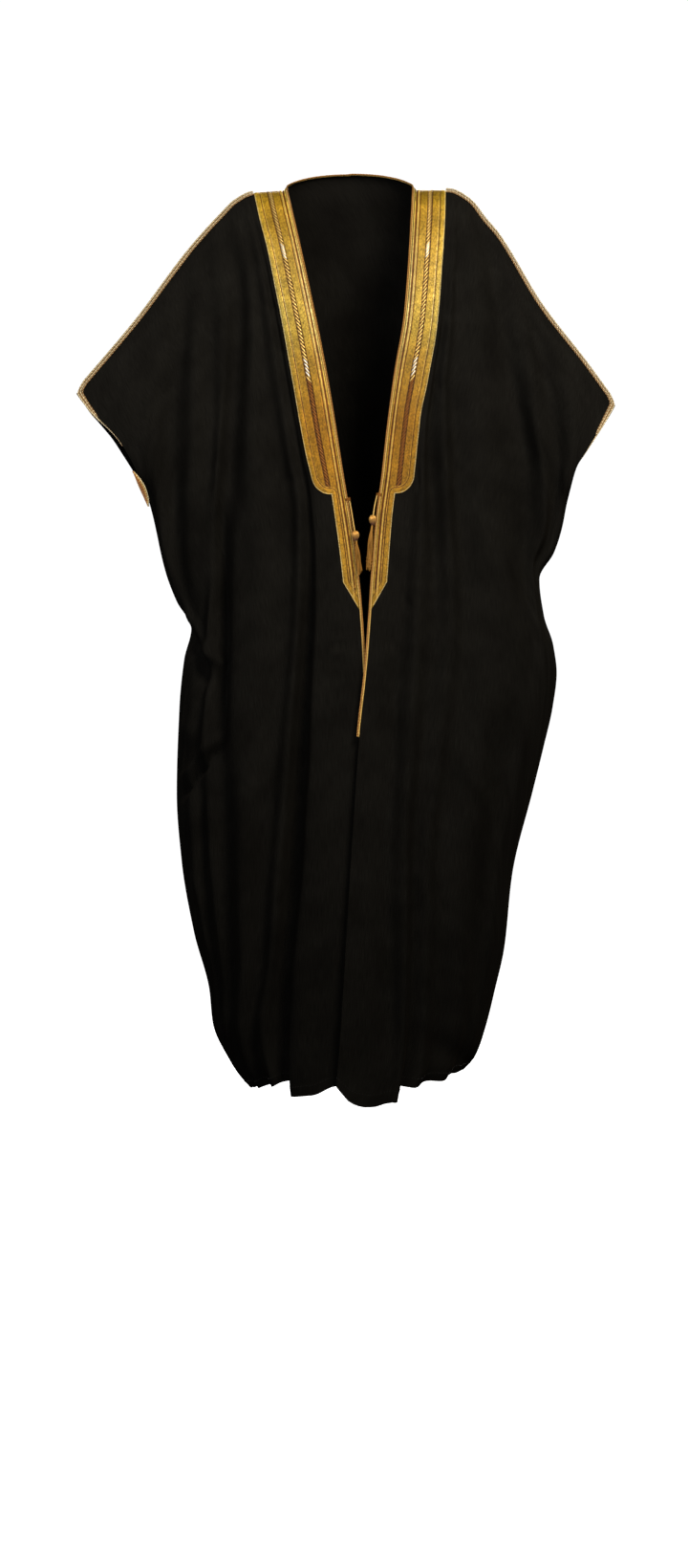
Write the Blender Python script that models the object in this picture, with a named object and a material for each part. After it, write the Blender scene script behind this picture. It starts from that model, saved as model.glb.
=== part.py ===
"""A bisht: a wide black cloak with gold zari bands, hanging open as it does on a wearer.

Metres, +Z up.  The origin is on the centre line between the shoulders, at the
height of the neck points, where the wearer's shoulders hold the cloak.  The
fronts face -Y, and the wearer's left is +X.

Each cloth piece is a wall read from one smooth surface.  A row runs across a
piece at a share f of its length (0 at the shoulder seam, 1 at the hem).  A
column c runs down it along the crease lines of a short table.
"""

from collections import namedtuple

import bmesh
import bpy
import numpy as np

# ---------------------------------------------------------------- sizes (m)
WALL = 0.0015            # cloth, with its seam allowances pressed flat
SEAM_GAP = 0.0003        # between pieces that are sewn together
REST_GAP = 0.0004        # between a trim and the cloth that it lies on
BAND_WALL = 0.0014       # the embroidered band's backing
RIB_RISE = 0.0010        # how far the couched ribs stand over the backing
CORD_RADIUS = 0.0024     # gold cord along the front edges and the neck
SEAM_CORD_RADIUS = 0.0026
TIE_RADIUS = 0.0013
CUFF_END = 0.16          # share of the length where the hand opening closes
CUFF_PEEK = {"right": 0.009, "left": 0.0}   # the back edge swings outside the front edge
NECK_DEPTH = 0.075       # how far the back of the neck lies behind the shoulder line
NECK_RISE = 0.036        # how far it stands above the neck points
BACK_LENGTH = 1.418      # origin to the hem at the centre back
BEND_CLEAR = 0.0006      # more room for a cord where the edge beside it bends
SEAM_READ = 0.004        # the shoulder seam's slope is read over this distance

# ------------------------------------------------------------- shares, counts
RIDGE_ROUNDING = 0.02    # share of the length over which the shoulder rounds over
SAG = 2.0                # rows leave the centre level and drop towards the side
LEAN_STEP = 0.012        # a crease stands square to the cloth's slope over this share
WALL_STEP = 0.004        # and the wall's thickness to the slope over this one
CORD_SIDES = 6
OFF_CORD = (0.0, 1.0, 0.1)   # no cord starts out this way
MM = 0.001
FULL_TURN = 2 * np.pi

# ------------------------------------------------- outlines, front view (m)
# out: distance from the centre line.  drop: distance below the origin.
Station = namedtuple("Station", "out drop")

# The shoulder seam, from the neck point to the top corner of the hand opening.
SHOULDER = {
    "right": [Station(0.105, 0.005), Station(0.155, 0.011), Station(0.180, 0.024),
              Station(0.200, 0.044), Station(0.2505, 0.102), Station(0.333, 0.2150),
              Station(0.424, 0.326)],
    "left": [Station(0.0995, 0.004), Station(0.153, 0.007), Station(0.1815, 0.022),
             Station(0.207, 0.054), Station(0.2265, 0.078), Station(0.294, 0.191),
             Station(0.3615, 0.281), Station(0.406, 0.344)],
}
# The outer edge: the hand opening, then the side seam down to the hem.
SIDE = {
    "right": [Station(0.424, 0.326), Station(0.403, 0.357), Station(0.361, 0.402),
              Station(0.335, 0.447), Station(0.314, 0.500), Station(0.290, 0.6045),
              Station(0.273, 0.650), Station(0.2505, 0.6915), Station(0.262, 0.7395),
              Station(0.270, 0.8145), Station(0.2745, 0.950), Station(0.267, 1.0545),
              Station(0.2475, 1.167), Station(0.2235, 1.257), Station(0.218, 1.3095),
              Station(0.192, 1.3665), Station(0.159, 1.410)],
    "left": [Station(0.406, 0.344), Station(0.387, 0.3795), Station(0.360, 0.4245),
             Station(0.347, 0.447), Station(0.3355, 0.492), Station(0.327, 0.537),
             Station(0.315, 0.5745), Station(0.2925, 0.615), Station(0.300, 0.672),
             Station(0.315, 0.717), Station(0.321, 0.762), Station(0.315, 0.8145),
             Station(0.3015, 0.8745), Station(0.285, 0.942), Station(0.252, 1.077),
             Station(0.240, 1.1895), Station(0.225, 1.257), Station(0.210, 1.317),
             Station(0.1935, 1.362), Station(0.1755, 1.3815)],
}
# The front edge.  Below the waist each front crosses the centre line.
FRONT_EDGE = {
    "right": [Station(0.105, 0.005), Station(0.0725, 0.1545), Station(0.0425, 0.3045),
              Station(0.017, 0.462), Station(-0.001, 0.5745), Station(-0.011, 0.6645),
              Station(-0.0165, 0.7545), Station(-0.021, 0.8595), Station(-0.0245, 0.950),
              Station(-0.023, 1.100), Station(-0.017, 1.300), Station(-0.012, 1.396)],
    "left": [Station(0.0995, 0.004), Station(0.092, 0.1245), Station(0.0845, 0.2145),
             Station(0.0695, 0.3045), Station(0.0575, 0.3945), Station(0.050, 0.462),
             Station(0.041, 0.5295), Station(0.0335, 0.6195), Station(0.0305, 0.6645),
             Station(0.0235, 0.7545), Station(0.012, 0.8595), Station(-0.0015, 1.0545),
             Station(-0.0105, 1.2045), Station(-0.018, 1.3245), Station(-0.024, 1.396)],
}

# How far the hem dips at a share of the width, from the front edge to the side.
HemPoint = namedtuple("HemPoint", "share dip_mm")
HEM = {
    "right": [HemPoint(0.0, 0), HemPoint(0.20, 0), HemPoint(0.42, 13), HemPoint(0.57, 13),
              HemPoint(0.68, -6), HemPoint(0.80, 0), HemPoint(1.0, 0)],
    "left": [HemPoint(0.0, 0), HemPoint(0.12, 26), HemPoint(0.26, 34), HemPoint(0.45, 30),
             HemPoint(0.53, 10), HemPoint(0.81, 4), HemPoint(1.0, 0)],
    "back": [HemPoint(-1.0, 0), HemPoint(-0.6, 6), HemPoint(-0.25, -4), HemPoint(0.0, 5),
             HemPoint(0.3, -3), HemPoint(0.65, 6), HemPoint(1.0, 0)],
}
HEM_ZONE = 0.12          # share of the length over which a dip grows

# ----------------------------------------------------- depth on the figure
# Forward (-) or back (+) of the shoulder line at each length share, read at
# five places across the half width: 0, 20, 45, 65 and 90 degrees round.  From
# the foot of the hand opening down, the side seam's own table gives the last.
Section = namedtuple("Section", "level centre deg20 deg45 deg65 side")
ROUND = np.radians([0, 20, 45, 65, 90])

FRONT_SECTIONS = [
    Section(0.02, -46, -48, -70, -84, -88),
    Section(0.06, -76, -76, -88, -102, -102),
    Section(0.12, -104, -98, -96, -104, -94),
    Section(0.16, -116, -108, -100, -92, -62),
    Section(0.27, -136, -126, -106, -78, -45),
    Section(0.48, -146, -134, -102, -62, -8),
    Section(0.76, -150, -138, -104, -60, 0),
    Section(1.00, -156, -144, -108, -62, 0),
]
BACK_SECTIONS = [
    Section(0.02, 88, 40, 4, -32, -52),
    Section(0.06, 106, 78, 28, -18, -38),
    Section(0.12, 122, 106, 42, -8, -44),
    Section(0.16, 128, 114, 50, -2, -62),
    Section(0.27, 138, 128, 76, 26, -45),
    Section(0.48, 138, 132, 98, 56, -8),
    Section(0.76, 142, 136, 104, 60, 0),
    Section(1.00, 150, 144, 108, 64, 0),
]
# How far back the side seam lies, where both pieces meet.
Place = namedtuple("Place", "level mm")
SIDE_SEAM = [Place(CUFF_END, -62), Place(0.27, -45), Place(0.48, -8), Place(0.76, 0),
             Place(1.0, 0)]
# The left front laps over the right one: how far it stands in front of it.
LAP = [Place(0.0, 0), Place(0.38, 2), Place(0.48, 9), Place(0.76, 16), Place(1.0, 20)]

ARM_REACH = 0.22         # the arms carry the shoulder seam forward, for each metre out

# ------------------------------------------------------------ crease lines
# Each row is a crease line down the cloth.  share: where it lies across the
# width at each level.  mm: how far it stands out (+) or falls in (-).
LEVELS = (0.0, 0.06, 0.12, 0.20, 0.27, 0.38, 0.48, 0.76, 1.0)
Crease = namedtuple("Crease", "name share mm")

FRONT_CREASES = {
    "right": [
        Crease("front edge", (0, 0, 0, 0, 0, 0, 0, 0, 0), (0, 0, 0, 0, 0, 0, 0, 0, 0)),
        Crease("band edge", (.150, .165, .180, .190, .190, .180, .175, .210, .330),
               (0, 0, 0, 0, 0, 2, 4, 5, 4)),
        Crease("lip", (.165, .180, .196, .206, .208, .205, .235, .370, .580),
               (0, 0, 0, -1, -3, 1, 7, 12, 10)),
        Crease("edge trough", (.180, .194, .212, .226, .228, .236, .285, .420, .655),
               (0, -2, -4, -7, -9, -14, -17, -17, -18)),
        Crease("first rib", (.198, .212, .238, .262, .272, .292, .335, .500, .760),
               (0, 2, 4, 3, 4, 6, 6, 6, 6)),
        Crease("soft trough", (.222, .245, .285, .325, .335, .360, .400, .585, .835),
               (0, -1, -3, -5, -6, -6, -6, -7, -6)),
        Crease("broad rib", (.258, .278, .325, .420, .490, .580, .590, .695, .890),
               (0, 2, 3, 6, 9, 12, 12, 12, 5)),
        Crease("deep trough", (.315, .335, .410, .540, .625, .735, .740, .800, .925),
               (0, -5, -10, -15, -20, -24, -20, -12, -4)),
        Crease("inner side rib", (.355, .412, .490, .605, .695, .820, .810, .862, .950),
               (0, 3, 5, 8, 8, 6, 7, 5, 1)),
        Crease("side trough", (.392, .472, .565, .672, .752, .872, .862, .905, .965),
               (0, -2, -3, -5, -7, -20, -15, -6, -1)),
        Crease("bright rib", (.428, .545, .665, .790, .868, .915, .912, .937, .978),
               (0, 4, 8, 9, 6, 3, 4, 3, 1)),
        Crease("sleeve trough", (.490, .635, .790, .890, .940, .955, .955, .965, .989),
               (0, -5, -10, -12, -7, -4, -3, -2, 0)),
        Crease("sleeve rib", (.690, .810, .915, .955, .975, .980, .980, .984, .995),
               (0, 4, 5, 3, 1, 0, 0, 0, 0)),
        Crease("side", (1, 1, 1, 1, 1, 1, 1, 1, 1), (0, 0, 0, 0, 0, 0, 0, 0, 0)),
    ],
    "left": [
        Crease("front edge", (0, 0, 0, 0, 0, 0, 0, 0, 0), (0, 0, 0, 0, 0, 0, 0, 0, 0)),
        Crease("band edge", (.155, .175, .190, .195, .190, .172, .175, .235, .365),
               (0, 0, 0, 0, 0, -3, -8, -10, -6)),
        Crease("first rib", (.166, .186, .203, .212, .225, .228, .245, .330, .435),
               (0, 0, 0, 2, 5, 9, 10, 9, 9)),
        Crease("band trough", (.180, .202, .222, .234, .262, .305, .345, .395, .525),
               (0, 0, -2, -7, -11, -7, -4, -5, -13)),
        Crease("second rib", (.196, .232, .255, .274, .350, .385, .430, .465, .590),
               (0, 2, 4, 5, 8, 8, 6, 6, 6)),
        Crease("soft trough", (.216, .262, .298, .330, .440, .470, .520, .555, .700),
               (0, -2, -4, -6, -7, -6, -5, -6, -6)),
        Crease("broad rib", (.262, .360, .425, .500, .640, .650, .665, .695, .815),
               (0, 4, 6, 8, 9, 9, 9, 8, 5)),
        Crease("arm trough", (.318, .470, .650, .785, .905, .870, .855, .845, .900),
               (0, -5, -13, -16, -11, -6, -4, -6, -3)),
        Crease("bright rib", (.420, .640, .785, .900, .945, .920, .905, .900, .940),
               (0, 5, 9, 9, 4, 1, 0, 1, 0)),
        Crease("sleeve trough", (.540, .752, .905, .955, .970, .955, .945, .940, .965),
               (0, -5, -9, -9, -4, -1, 0, -1, 0)),
        Crease("sleeve rib", (.760, .905, .965, .982, .987, .980, .975, .972, .985),
               (0, 3, 4, 2, 1, 0, 0, 0, 0)),
        Crease("side", (1, 1, 1, 1, 1, 1, 1, 1, 1), (0, 0, 0, 0, 0, 0, 0, 0, 0)),
    ],
}

# The back hangs from the neck seam and the shoulder blades.  Its shares run
# from -1 at the wearer's right side, through 0 at the centre, to 1.
BACK_LEVELS = (0.0, 0.03, 0.12, 0.30, 0.55, 1.0)
BACK_CREASES = [
    Crease("right side", (-1, -1, -1, -1, -1, -1), (0, 0, 0, 0, 0, 0)),
    Crease("right sleeve trough", (-.86, -.87, -.90, -.93, -.93, -.95), (0, -1, -7, -6, -4, -1)),
    Crease("right sleeve rib", (-.74, -.76, -.80, -.85, -.86, -.88), (0, 1, 7, 8, 6, 4)),
    Crease("right arm trough", (-.60, -.63, -.68, -.74, -.75, -.77), (0, -2, -11, -16, -15, -12)),
    Crease("right blade rib", (-.48, -.50, -.53, -.58, -.60, -.64), (0, 1, 6, 12, 14, 13)),
    Crease("right blade trough", (-.36, -.41, -.42, -.43, -.45, -.49), (0, -1, -6, -13, -18, -17)),
    Crease("right neck point", (-.2465, -.32, -.31, -.30, -.31, -.33), (0, 1, 3, 9, 13, 15)),
    Crease("right neck turn", (-.2135, -.255, -.25, -.24, -.24, -.25), (0, 0, 0, 0, 2, 3)),
    Crease("right neck trough", (-.1232, -.14, -.14, -.14, -.14, -.14), (0, -1, -3, -9, -15, -18)),
    Crease("centre", (0, 0, 0, .01, .01, 0), (0, 0, 1, 7, 11, 14)),
    Crease("left neck trough", (.122, .14, .14, .15, .16, .16), (0, 0, -2, -8, -13, -15)),
    Crease("left neck turn", (.2112, .255, .25, .25, .25, .26), (0, 0, 0, 0, 1, 2)),
    Crease("left neck point", (.2439, .32, .31, .31, .32, .34), (0, 1, 3, 8, 12, 14)),
    Crease("left blade trough", (.35, .41, .42, .44, .46, .48), (0, -1, -5, -11, -15, -17)),
    Crease("left blade rib", (.47, .49, .52, .56, .59, .62), (0, 1, 6, 11, 14, 14)),
    Crease("left arm trough", (.59, .62, .67, .72, .73, .75), (0, -2, -10, -14, -13, -12)),
    Crease("left sleeve rib", (.73, .75, .80, .84, .85, .86), (0, 1, 7, 8, 6, 5)),
    Crease("left sleeve trough", (.86, .87, .90, .92, .93, .94), (0, -1, -7, -6, -3, -1)),
    Crease("left side", (1, 1, 1, 1, 1, 1), (0, 0, 0, 0, 0, 0)),
]
BACK_NECK = (6, 12)      # the columns of the two neck points

# -------------------------------------------------------------------- ties
# Places on a tie, beside the edge cord.  aside: into the front opening.
Hang = namedtuple("Hang", "drop aside forward")
Tie = namedtuple("Tie", "cord bead tassel")
TIES = {
    "right": Tie(cord=[Hang(501, 4.2, 0.0), Hang(511, 4.4, 1.2), Hang(523, 4.4, 3.8),
                       Hang(535, 4.3, 6.3), Hang(547.6, 4.3, 7.6)],
                 bead=Hang(555.5, 4.3, 7.6),
                 tassel=[Hang(563.4, 4.3, 7.6), Hang(569, 4.2, 7.6), Hang(583, 4.1, 7.5),
                         Hang(599, 4.0, 7.3), Hang(616, 4.0, 7.0)]),
    "left": Tie(cord=[Hang(489, 4.2, 0.0), Hang(498, 4.9, 1.4), Hang(507, 5.6, 3.6),
                      Hang(516, 6.0, 5.8), Hang(523.6, 6.2, 6.6)],
                bead=Hang(531.5, 6.2, 6.6),
                tassel=[Hang(539.4, 6.2, 6.6), Hang(545, 6.4, 6.6), Hang(561, 6.6, 6.6),
                        Hang(583, 6.6, 6.6), Hang(611, 6.0, 6.4)]),
}
TIE_SPACING = 5 * TIE_RADIUS
BEAD_WIDTH = 0.0092
BEAD_LENGTH = 0.0150
BEAD_SIDES = 10
BEAD_RINGS = 7
STRANDS_ACROSS = 3
TASSEL_WIDTH = 0.0064
TASSEL_NECK = 0.55       # the head's top against its foot
TASSEL_SWAY = 0.0003
STRAND_UNEVEN = 0.005    # how much shorter the shortest strand is
STRAND_PHASE = 2.4       # turns each strand's sway and length against the next one's

# -------------------------------------------------------------------- rows
ROWS = (0, .008, .02, .04, .065, .09, .12, .14, CUFF_END, .19, .22, .25, .28, .31,
        .34, .37, .41, .444, .476, .51, .545, .58, .62, .68, .75, .82, .89, .95, 1)
BAND_STEP_ROW = ROWS.index(.34)     # the wide band ends here
BAND_END_ROW = ROWS.index(.476)     # and the narrow one here
CORD_END_ROW = ROWS.index(.62)      # the edge cord ends in a point

# The band's ribs, across its width from the front edge.  rise: 1 on a rib.
Rib = namedtuple("Rib", "share rise")
BAND_RIBS = [Rib(0.0, 0.3), Rib(0.22, 1.0), Rib(0.42, 0.0), Rib(0.545, 1.0),
             Rib(0.67, 0.0), Rib(0.83, 0.2), Rib(1.0, 0.9)]
NARROW_RIBS = 2          # the narrow part keeps this many of the band's strips


# ----------------------------------------------------------- smooth reading
def unit(directions):
    """The same directions, one long."""
    return directions / np.linalg.norm(directions, axis=-1, keepdims=True)


def smooth(stations, values, at, level_start=False):
    """Read a table at the places `at` (rows by columns), without overshoot.

    `values` is one row for all of `at`, or one row for each row of it.
    """
    stations = np.asarray(stations, float)
    values = np.atleast_2d(np.asarray(values, float))
    at = np.clip(np.atleast_2d(at), stations[0], stations[-1])
    width = np.diff(stations)
    rise = np.diff(values, axis=1) / width
    product = rise[:, :-1] * rise[:, 1:]
    total = rise[:, :-1] + rise[:, 1:]
    slope = np.empty_like(values)
    slope[:, 0] = 0 if level_start else rise[:, 0]
    slope[:, -1] = rise[:, -1]
    slope[:, 1:-1] = np.where(product > 0, 2 * product / np.where(total == 0, 1, total), 0)
    cell = np.clip(np.searchsorted(stations, at, side="right") - 1, 0, len(width) - 1)
    line = np.arange(len(at))[:, None] if len(values) > 1 else np.zeros((1, 1), int)
    t = (at - stations[cell]) / width[cell]
    low = values[line, cell]
    high = values[line, cell + 1]
    lift = width[cell] * (slope[line, cell] * t * (1 - t) ** 2
                          - slope[line, cell + 1] * t ** 2 * (1 - t))
    return low + (high - low) * t ** 2 * (3 - 2 * t) + lift


def read_places(places, f):
    """A distance in metres at the rows f."""
    return MM * smooth([place.level for place in places], [place.mm for place in places], f)


def read_outline(stations, drop):
    """Distance from the centre line at each drop."""
    return smooth([p.drop for p in stations], [p.out for p in stations], drop)


def read_shoulder(side, out):
    """Drop of the shoulder seam at each distance out."""
    stations = SHOULDER[side]
    return smooth([p.out for p in stations], [p.drop for p in stations], out)


def seam_depth(side, out):
    """Place in Y of the shoulder seam at each distance out."""
    return -ARM_REACH * (out - SHOULDER[side][0].out)


def crease_values(creases, levels, f, c):
    """Share and depth at the rows f (a column of numbers) and column places c."""
    shares = np.hstack([smooth(levels, crease.share, f) for crease in creases])
    depths = np.hstack([smooth(levels, crease.mm, f) for crease in creases]) * MM
    left = np.minimum(c.astype(int), len(creases) - 2)
    t = c - left
    wave = (1 - np.cos(np.pi * t)) / 2
    share = shares[:, left] * (1 - t) + shares[:, left + 1] * t
    depth = depths[:, left] * (1 - wave) + depths[:, left + 1] * wave
    return share, depth


def read_sections(sections, f, share):
    """Depth on the figure at the rows f and the shares of the half width."""
    levels = [section.level for section in sections]
    table = np.array([section[1:] for section in sections]) * MM
    across = np.hstack([smooth(levels, column, f) for column in table.T])
    across[:, -1:] = np.where(f < CUFF_END, across[:, -1:], read_places(SIDE_SEAM, f))
    return smooth(ROUND, across, np.arcsin(np.clip(np.abs(share), 0, 1)), level_start=True)


# ------------------------------------------------------------- the surfaces
class Cloth:
    """A surface of the cloak: points and outward directions at rows and columns."""

    def __init__(self, creases, levels, turn):
        self.creases = creases
        self.levels = levels
        self.turn = turn          # +1 or -1: which way the cloth's outside faces
        self.last = len(creases) - 1

    def plain(self, f, c):
        """Points of the cloth with no creases."""
        share, _ = crease_values(self.creases, self.levels, f, c)
        return self.hang(f, share)

    def points(self, f, c):
        """Points of the creased cloth."""
        share, depth = crease_values(self.creases, self.levels, f, c)
        lean = self.outward(self.plain, f, c, LEAN_STEP)
        return self.hang(f, share) + lean * depth[..., None]

    def outward(self, surface, f, c, step):
        """Directions square to a surface, on the cloth's outside."""
        down = surface(np.minimum(f + step, 1), c) - surface(np.maximum(f - step, 0), c)
        across = (surface(f, np.minimum(c + step, self.last))
                  - surface(f, np.maximum(c - step, 0)))
        return unit(np.cross(across, down) * self.turn)


class Front(Cloth):
    """One front, from the shoulder seam to the hem; column 0 is its front edge."""

    def __init__(self, side):
        self.side = side
        self.sign = 1 if side == "left" else -1
        super().__init__(FRONT_CREASES[side], LEVELS, -self.sign)

    def hang(self, f, share):
        shoulder = SHOULDER[self.side]
        edge = FRONT_EDGE[self.side]
        outer = SIDE[self.side]
        edge_drop = edge[0].drop + f * (edge[-1].drop - edge[0].drop)
        outer_drop = outer[0].drop + f * (outer[-1].drop - outer[0].drop)
        edge_out = read_outline(edge, edge_drop)
        outer_out = read_outline(outer, outer_drop)
        out = edge_out + (outer_out - edge_out) * share
        sag = share ** SAG
        top_out = shoulder[0].out + (shoulder[-1].out - shoulder[0].out) * share
        top_drop = read_shoulder(self.side, top_out)
        chord = shoulder[0].drop + (shoulder[-1].drop - shoulder[0].drop) * sag
        drop = edge_drop + (outer_drop - edge_drop) * sag + (1 - f) ** 2 * (top_drop - chord)
        drop = drop + hem_dip(self.side, f, share)
        depth = read_sections(FRONT_SECTIONS, f, share)
        if self.side == "left":
            depth = depth - read_places(LAP, f) * np.cos(np.pi / 2 * share) ** 2
        depth = round_over(seam_depth(self.side, top_out), depth, f)
        return np.stack([self.sign * out, depth, -drop], axis=2)


class Back(Cloth):
    """The whole back; column 0 is the wearer's right side."""

    def __init__(self):
        super().__init__(BACK_CREASES, BACK_LEVELS, 1)

    def hang(self, f, share):
        right = self.half("right", f, np.clip(-share, 0, 1))
        left = self.half("left", f, np.clip(share, 0, 1))
        on_right = share < 0
        out = np.where(on_right, -right[0], left[0])
        drop = np.where(on_right, right[1], left[1]) + hem_dip("back", f, share)
        top = np.where(on_right, right[2], left[2])
        depth = round_over(top, read_sections(BACK_SECTIONS, f, share), f)
        return np.stack([out, depth, -drop], axis=2)

    def half(self, side, f, share):
        """Distance out, drop, and depth of the top edge, on one side."""
        shoulder = SHOULDER[side]
        outer = SIDE[side]
        neck = shoulder[0]
        centre_drop = -NECK_RISE + neck.drop + f * (BACK_LENGTH + NECK_RISE - neck.drop)
        outer_drop = outer[0].drop + f * (outer[-1].drop - outer[0].drop)
        outer_out = read_outline(outer, outer_drop)
        if CUFF_PEEK[side]:
            swing = np.sin(np.pi * np.clip(f / CUFF_END, 0, 1)) ** 2
            outer_out = outer_out + CUFF_PEEK[side] * swing
        out = outer_out * share
        top_out = shoulder[-1].out * share
        neck_round = np.sqrt(np.clip(1 - (top_out / neck.out) ** 2, 0, 1))
        on_neck = top_out < neck.out
        top_drop = np.where(on_neck, neck.drop - NECK_RISE * neck_round,
                            read_shoulder(side, top_out))
        top_depth = np.where(on_neck, NECK_DEPTH * neck_round,
                             seam_depth(side, top_out))
        sag = share ** SAG
        start = neck.drop - NECK_RISE
        chord = start + (shoulder[-1].drop - start) * sag
        drop = (centre_drop + (outer_drop - centre_drop) * sag
                + (1 - f) ** 2 * (top_drop - chord))
        return out, drop, top_depth


def hem_dip(piece, f, share):
    """How much lower the cloth lies near the hem than an even hem would."""
    table = HEM[piece]
    dip = MM * smooth([point.share for point in table], [point.dip_mm for point in table],
                      share)
    grow = np.clip((f - (1 - HEM_ZONE)) / HEM_ZONE, 0, 1)
    return dip * grow ** 2


def round_over(top, hung, f):
    """Depth that leaves the top edge level, as cloth does over a shoulder."""
    t = np.clip(f / RIDGE_ROUNDING, 0, 1)
    return top + (hung - top) * np.sqrt(t)


# ------------------------------------------------------------ making meshes
def material(name, colour, roughness, metallic):
    """A plain finish."""
    made = bpy.data.materials.new(name)
    made.use_nodes = True
    shader = made.node_tree.nodes["Principled BSDF"]
    shader.inputs["Base Color"].default_value = (*colour, 1)
    shader.inputs["Roughness"].default_value = roughness
    shader.inputs["Metallic"].default_value = metallic
    return made


def add_mesh(name, points, triangles, finish):
    """One named object."""
    mesh = bpy.data.meshes.new(name)
    mesh.from_pydata([tuple(map(float, point)) for point in points], [], triangles)
    mesh.materials.append(finish)
    mesh.shade_smooth()
    mesh.set_sharp_from_angle(angle=np.radians(50))
    made = bpy.data.objects.new(name, mesh)
    bpy.context.collection.objects.link(made)
    return made


def grid_triangles(rows, columns, keep, turn):
    """Two triangles for each kept cell of a grid, or one at a cut corner.

    `keep(i, j)` gives "whole", "none", or "upper" for the half beside the
    inner upper corner.
    """
    triangles = []
    for i in range(rows - 1):
        for j in range(columns - 1):
            part = keep(i, j)
            if part == "none":
                continue
            a = i * columns + j
            b = a + 1
            d = a + columns
            e = d + 1
            halves = [(a, d, b)] if part == "upper" else [(a, d, b), (b, d, e)]
            for one in halves:
                triangles.append(one[::-1] if turn > 0 else one)
    return triangles


def wall(name, outer, inner, triangles, finish):
    """A closed wall between matching outer and inner points."""
    used = sorted({index for one in triangles for index in one})
    place = {index: order for order, index in enumerate(used)}
    count = len(used)
    outside = [tuple(place[index] for index in one) for one in triangles]
    inside = [tuple(index + count for index in one[::-1]) for one in outside]
    edges = {(one[k], one[(k + 1) % 3]) for one in outside for k in range(3)}
    rim = []
    for a, b in sorted(edges):
        if (b, a) not in edges:
            rim.append((b, a, a + count))
            rim.append((b, a + count, b + count))
    points = np.vstack([outer[used], inner[used]])
    return add_mesh(name, points, outside + inside + rim, finish)


def fine_columns(creases, splits):
    """Column places: `splits` cells between each pair of crease lines."""
    places = []
    for index, count in enumerate(splits):
        places += [index + k / count for k in range(count)]
    return np.array(places + [len(creases) - 1.0])


def level_out(normals, level):
    """Directions with no Y part, where two pieces meet at the side seam."""
    flat = unit(normals * np.array([1, 0, 1]))
    return np.where(level[..., None], flat, normals)


def shoulder_normals(points):
    """Directions square to the shoulder seam and level in Y, at points on it."""
    made = np.zeros_like(points)
    for side, sign in (("right", -1), ("left", 1)):
        out = points[:, 0] * sign
        stations = SHOULDER[side]
        low = np.clip(out - SEAM_READ, stations[0].out, stations[-1].out)
        high = np.clip(out + SEAM_READ, stations[0].out, stations[-1].out)
        on_side = out > 0
        fall = (read_shoulder(side, high) - read_shoulder(side, low))[0, on_side]
        run = (high - low)[on_side]
        made[on_side] = np.column_stack([sign * fall, 0 * run, run])
    return unit(made)


def cloth_grid(cloth, c, on_shoulder, at_side, side_of_seam):
    """Outer points and directions of a piece, parted from its neighbours at its seams."""
    f = np.array(ROWS, float)[:, None]
    seams = np.zeros((len(ROWS), len(c)), bool)
    seams[ROWS.index(CUFF_END):, at_side] = True
    points = cloth.points(f, c)
    normals = level_out(cloth.outward(cloth.points, f, c, WALL_STEP), seams)
    normals[0, on_shoulder] = shoulder_normals(points[0, on_shoulder])
    seams[0, on_shoulder] = True
    points[seams, 1] += side_of_seam * SEAM_GAP / 2
    return points, normals


def flat_list(grid):
    """A grid of points as one list."""
    return grid.reshape(-1, 3)


# ---------------------------------------------------------------- the cloth
def make_front(side, cloth_finish, band_finish):
    """A front and the band on it.  Returns the surface grid for its trims."""
    front = Front(side)
    beyond_band = fine_columns(front.creases, [1] + [2] * (front.last - 1))[1:]
    c = np.array([rib.share for rib in BAND_RIBS[:-1]] + list(beyond_band))
    points, normals = cloth_grid(front, c, c >= 0, [-1], -1)
    turn = front.turn
    cells = grid_triangles(len(ROWS), len(c), lambda i, j: "whole", turn)
    wall(f"front_panel_{side}", flat_list(points), flat_list(points - normals * WALL),
         cells, cloth_finish)

    def band_cell(i, j):
        wide = i < BAND_STEP_ROW
        strips = len(BAND_RIBS) - 1 if wide else NARROW_RIBS
        end_row = BAND_STEP_ROW if wide else BAND_END_ROW
        if j >= strips or i >= end_row:
            return "none"
        return "upper" if (i, j) == (end_row - 1, strips - 1) else "whole"

    rise = np.zeros(len(c))
    rise[:len(BAND_RIBS)] = [rib.rise for rib in BAND_RIBS]
    lift = REST_GAP + BAND_WALL + RIB_RISE * rise[None, :, None]
    cells = grid_triangles(len(ROWS), len(c), band_cell, turn)
    wall(f"front_band_{side}", flat_list(points + normals * lift),
         flat_list(points + normals * REST_GAP), cells, band_finish)
    return points, normals


def make_back(cloth_finish, band_finish):
    """The back and the neck band.  Returns the surface grid for the trims."""
    back = Back()
    first, last = BACK_NECK
    splits = [2 if index < first or index >= last else 1 for index in range(back.last)]
    splits[first] = splits[last - 1] = 2
    splits[first + 2] = splits[last - 3] = 2
    c = fine_columns(back.creases, splits)
    points, normals = cloth_grid(back, c, (c <= first) | (c >= last), [0, -1], 1)
    cells = grid_triangles(len(ROWS), len(c), lambda i, j: "whole", back.turn)
    wall("back_panel", flat_list(points), flat_list(points - normals * WALL), cells,
         cloth_finish)

    neck_rows = ROWS.index(.02)
    ribs = np.zeros(len(ROWS))
    ribs[0] = 1.0

    def neck_cell(i, j):
        return "whole" if i < neck_rows and first - 1 <= c[j] < last + 1 else "none"

    lift = REST_GAP + BAND_WALL + RIB_RISE * ribs[:, None, None]
    cells = grid_triangles(len(ROWS), len(c), neck_cell, back.turn)
    wall("neck_band", flat_list(points + normals * lift),
         flat_list(points + normals * REST_GAP), cells, band_finish)
    return c, points, normals


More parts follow.
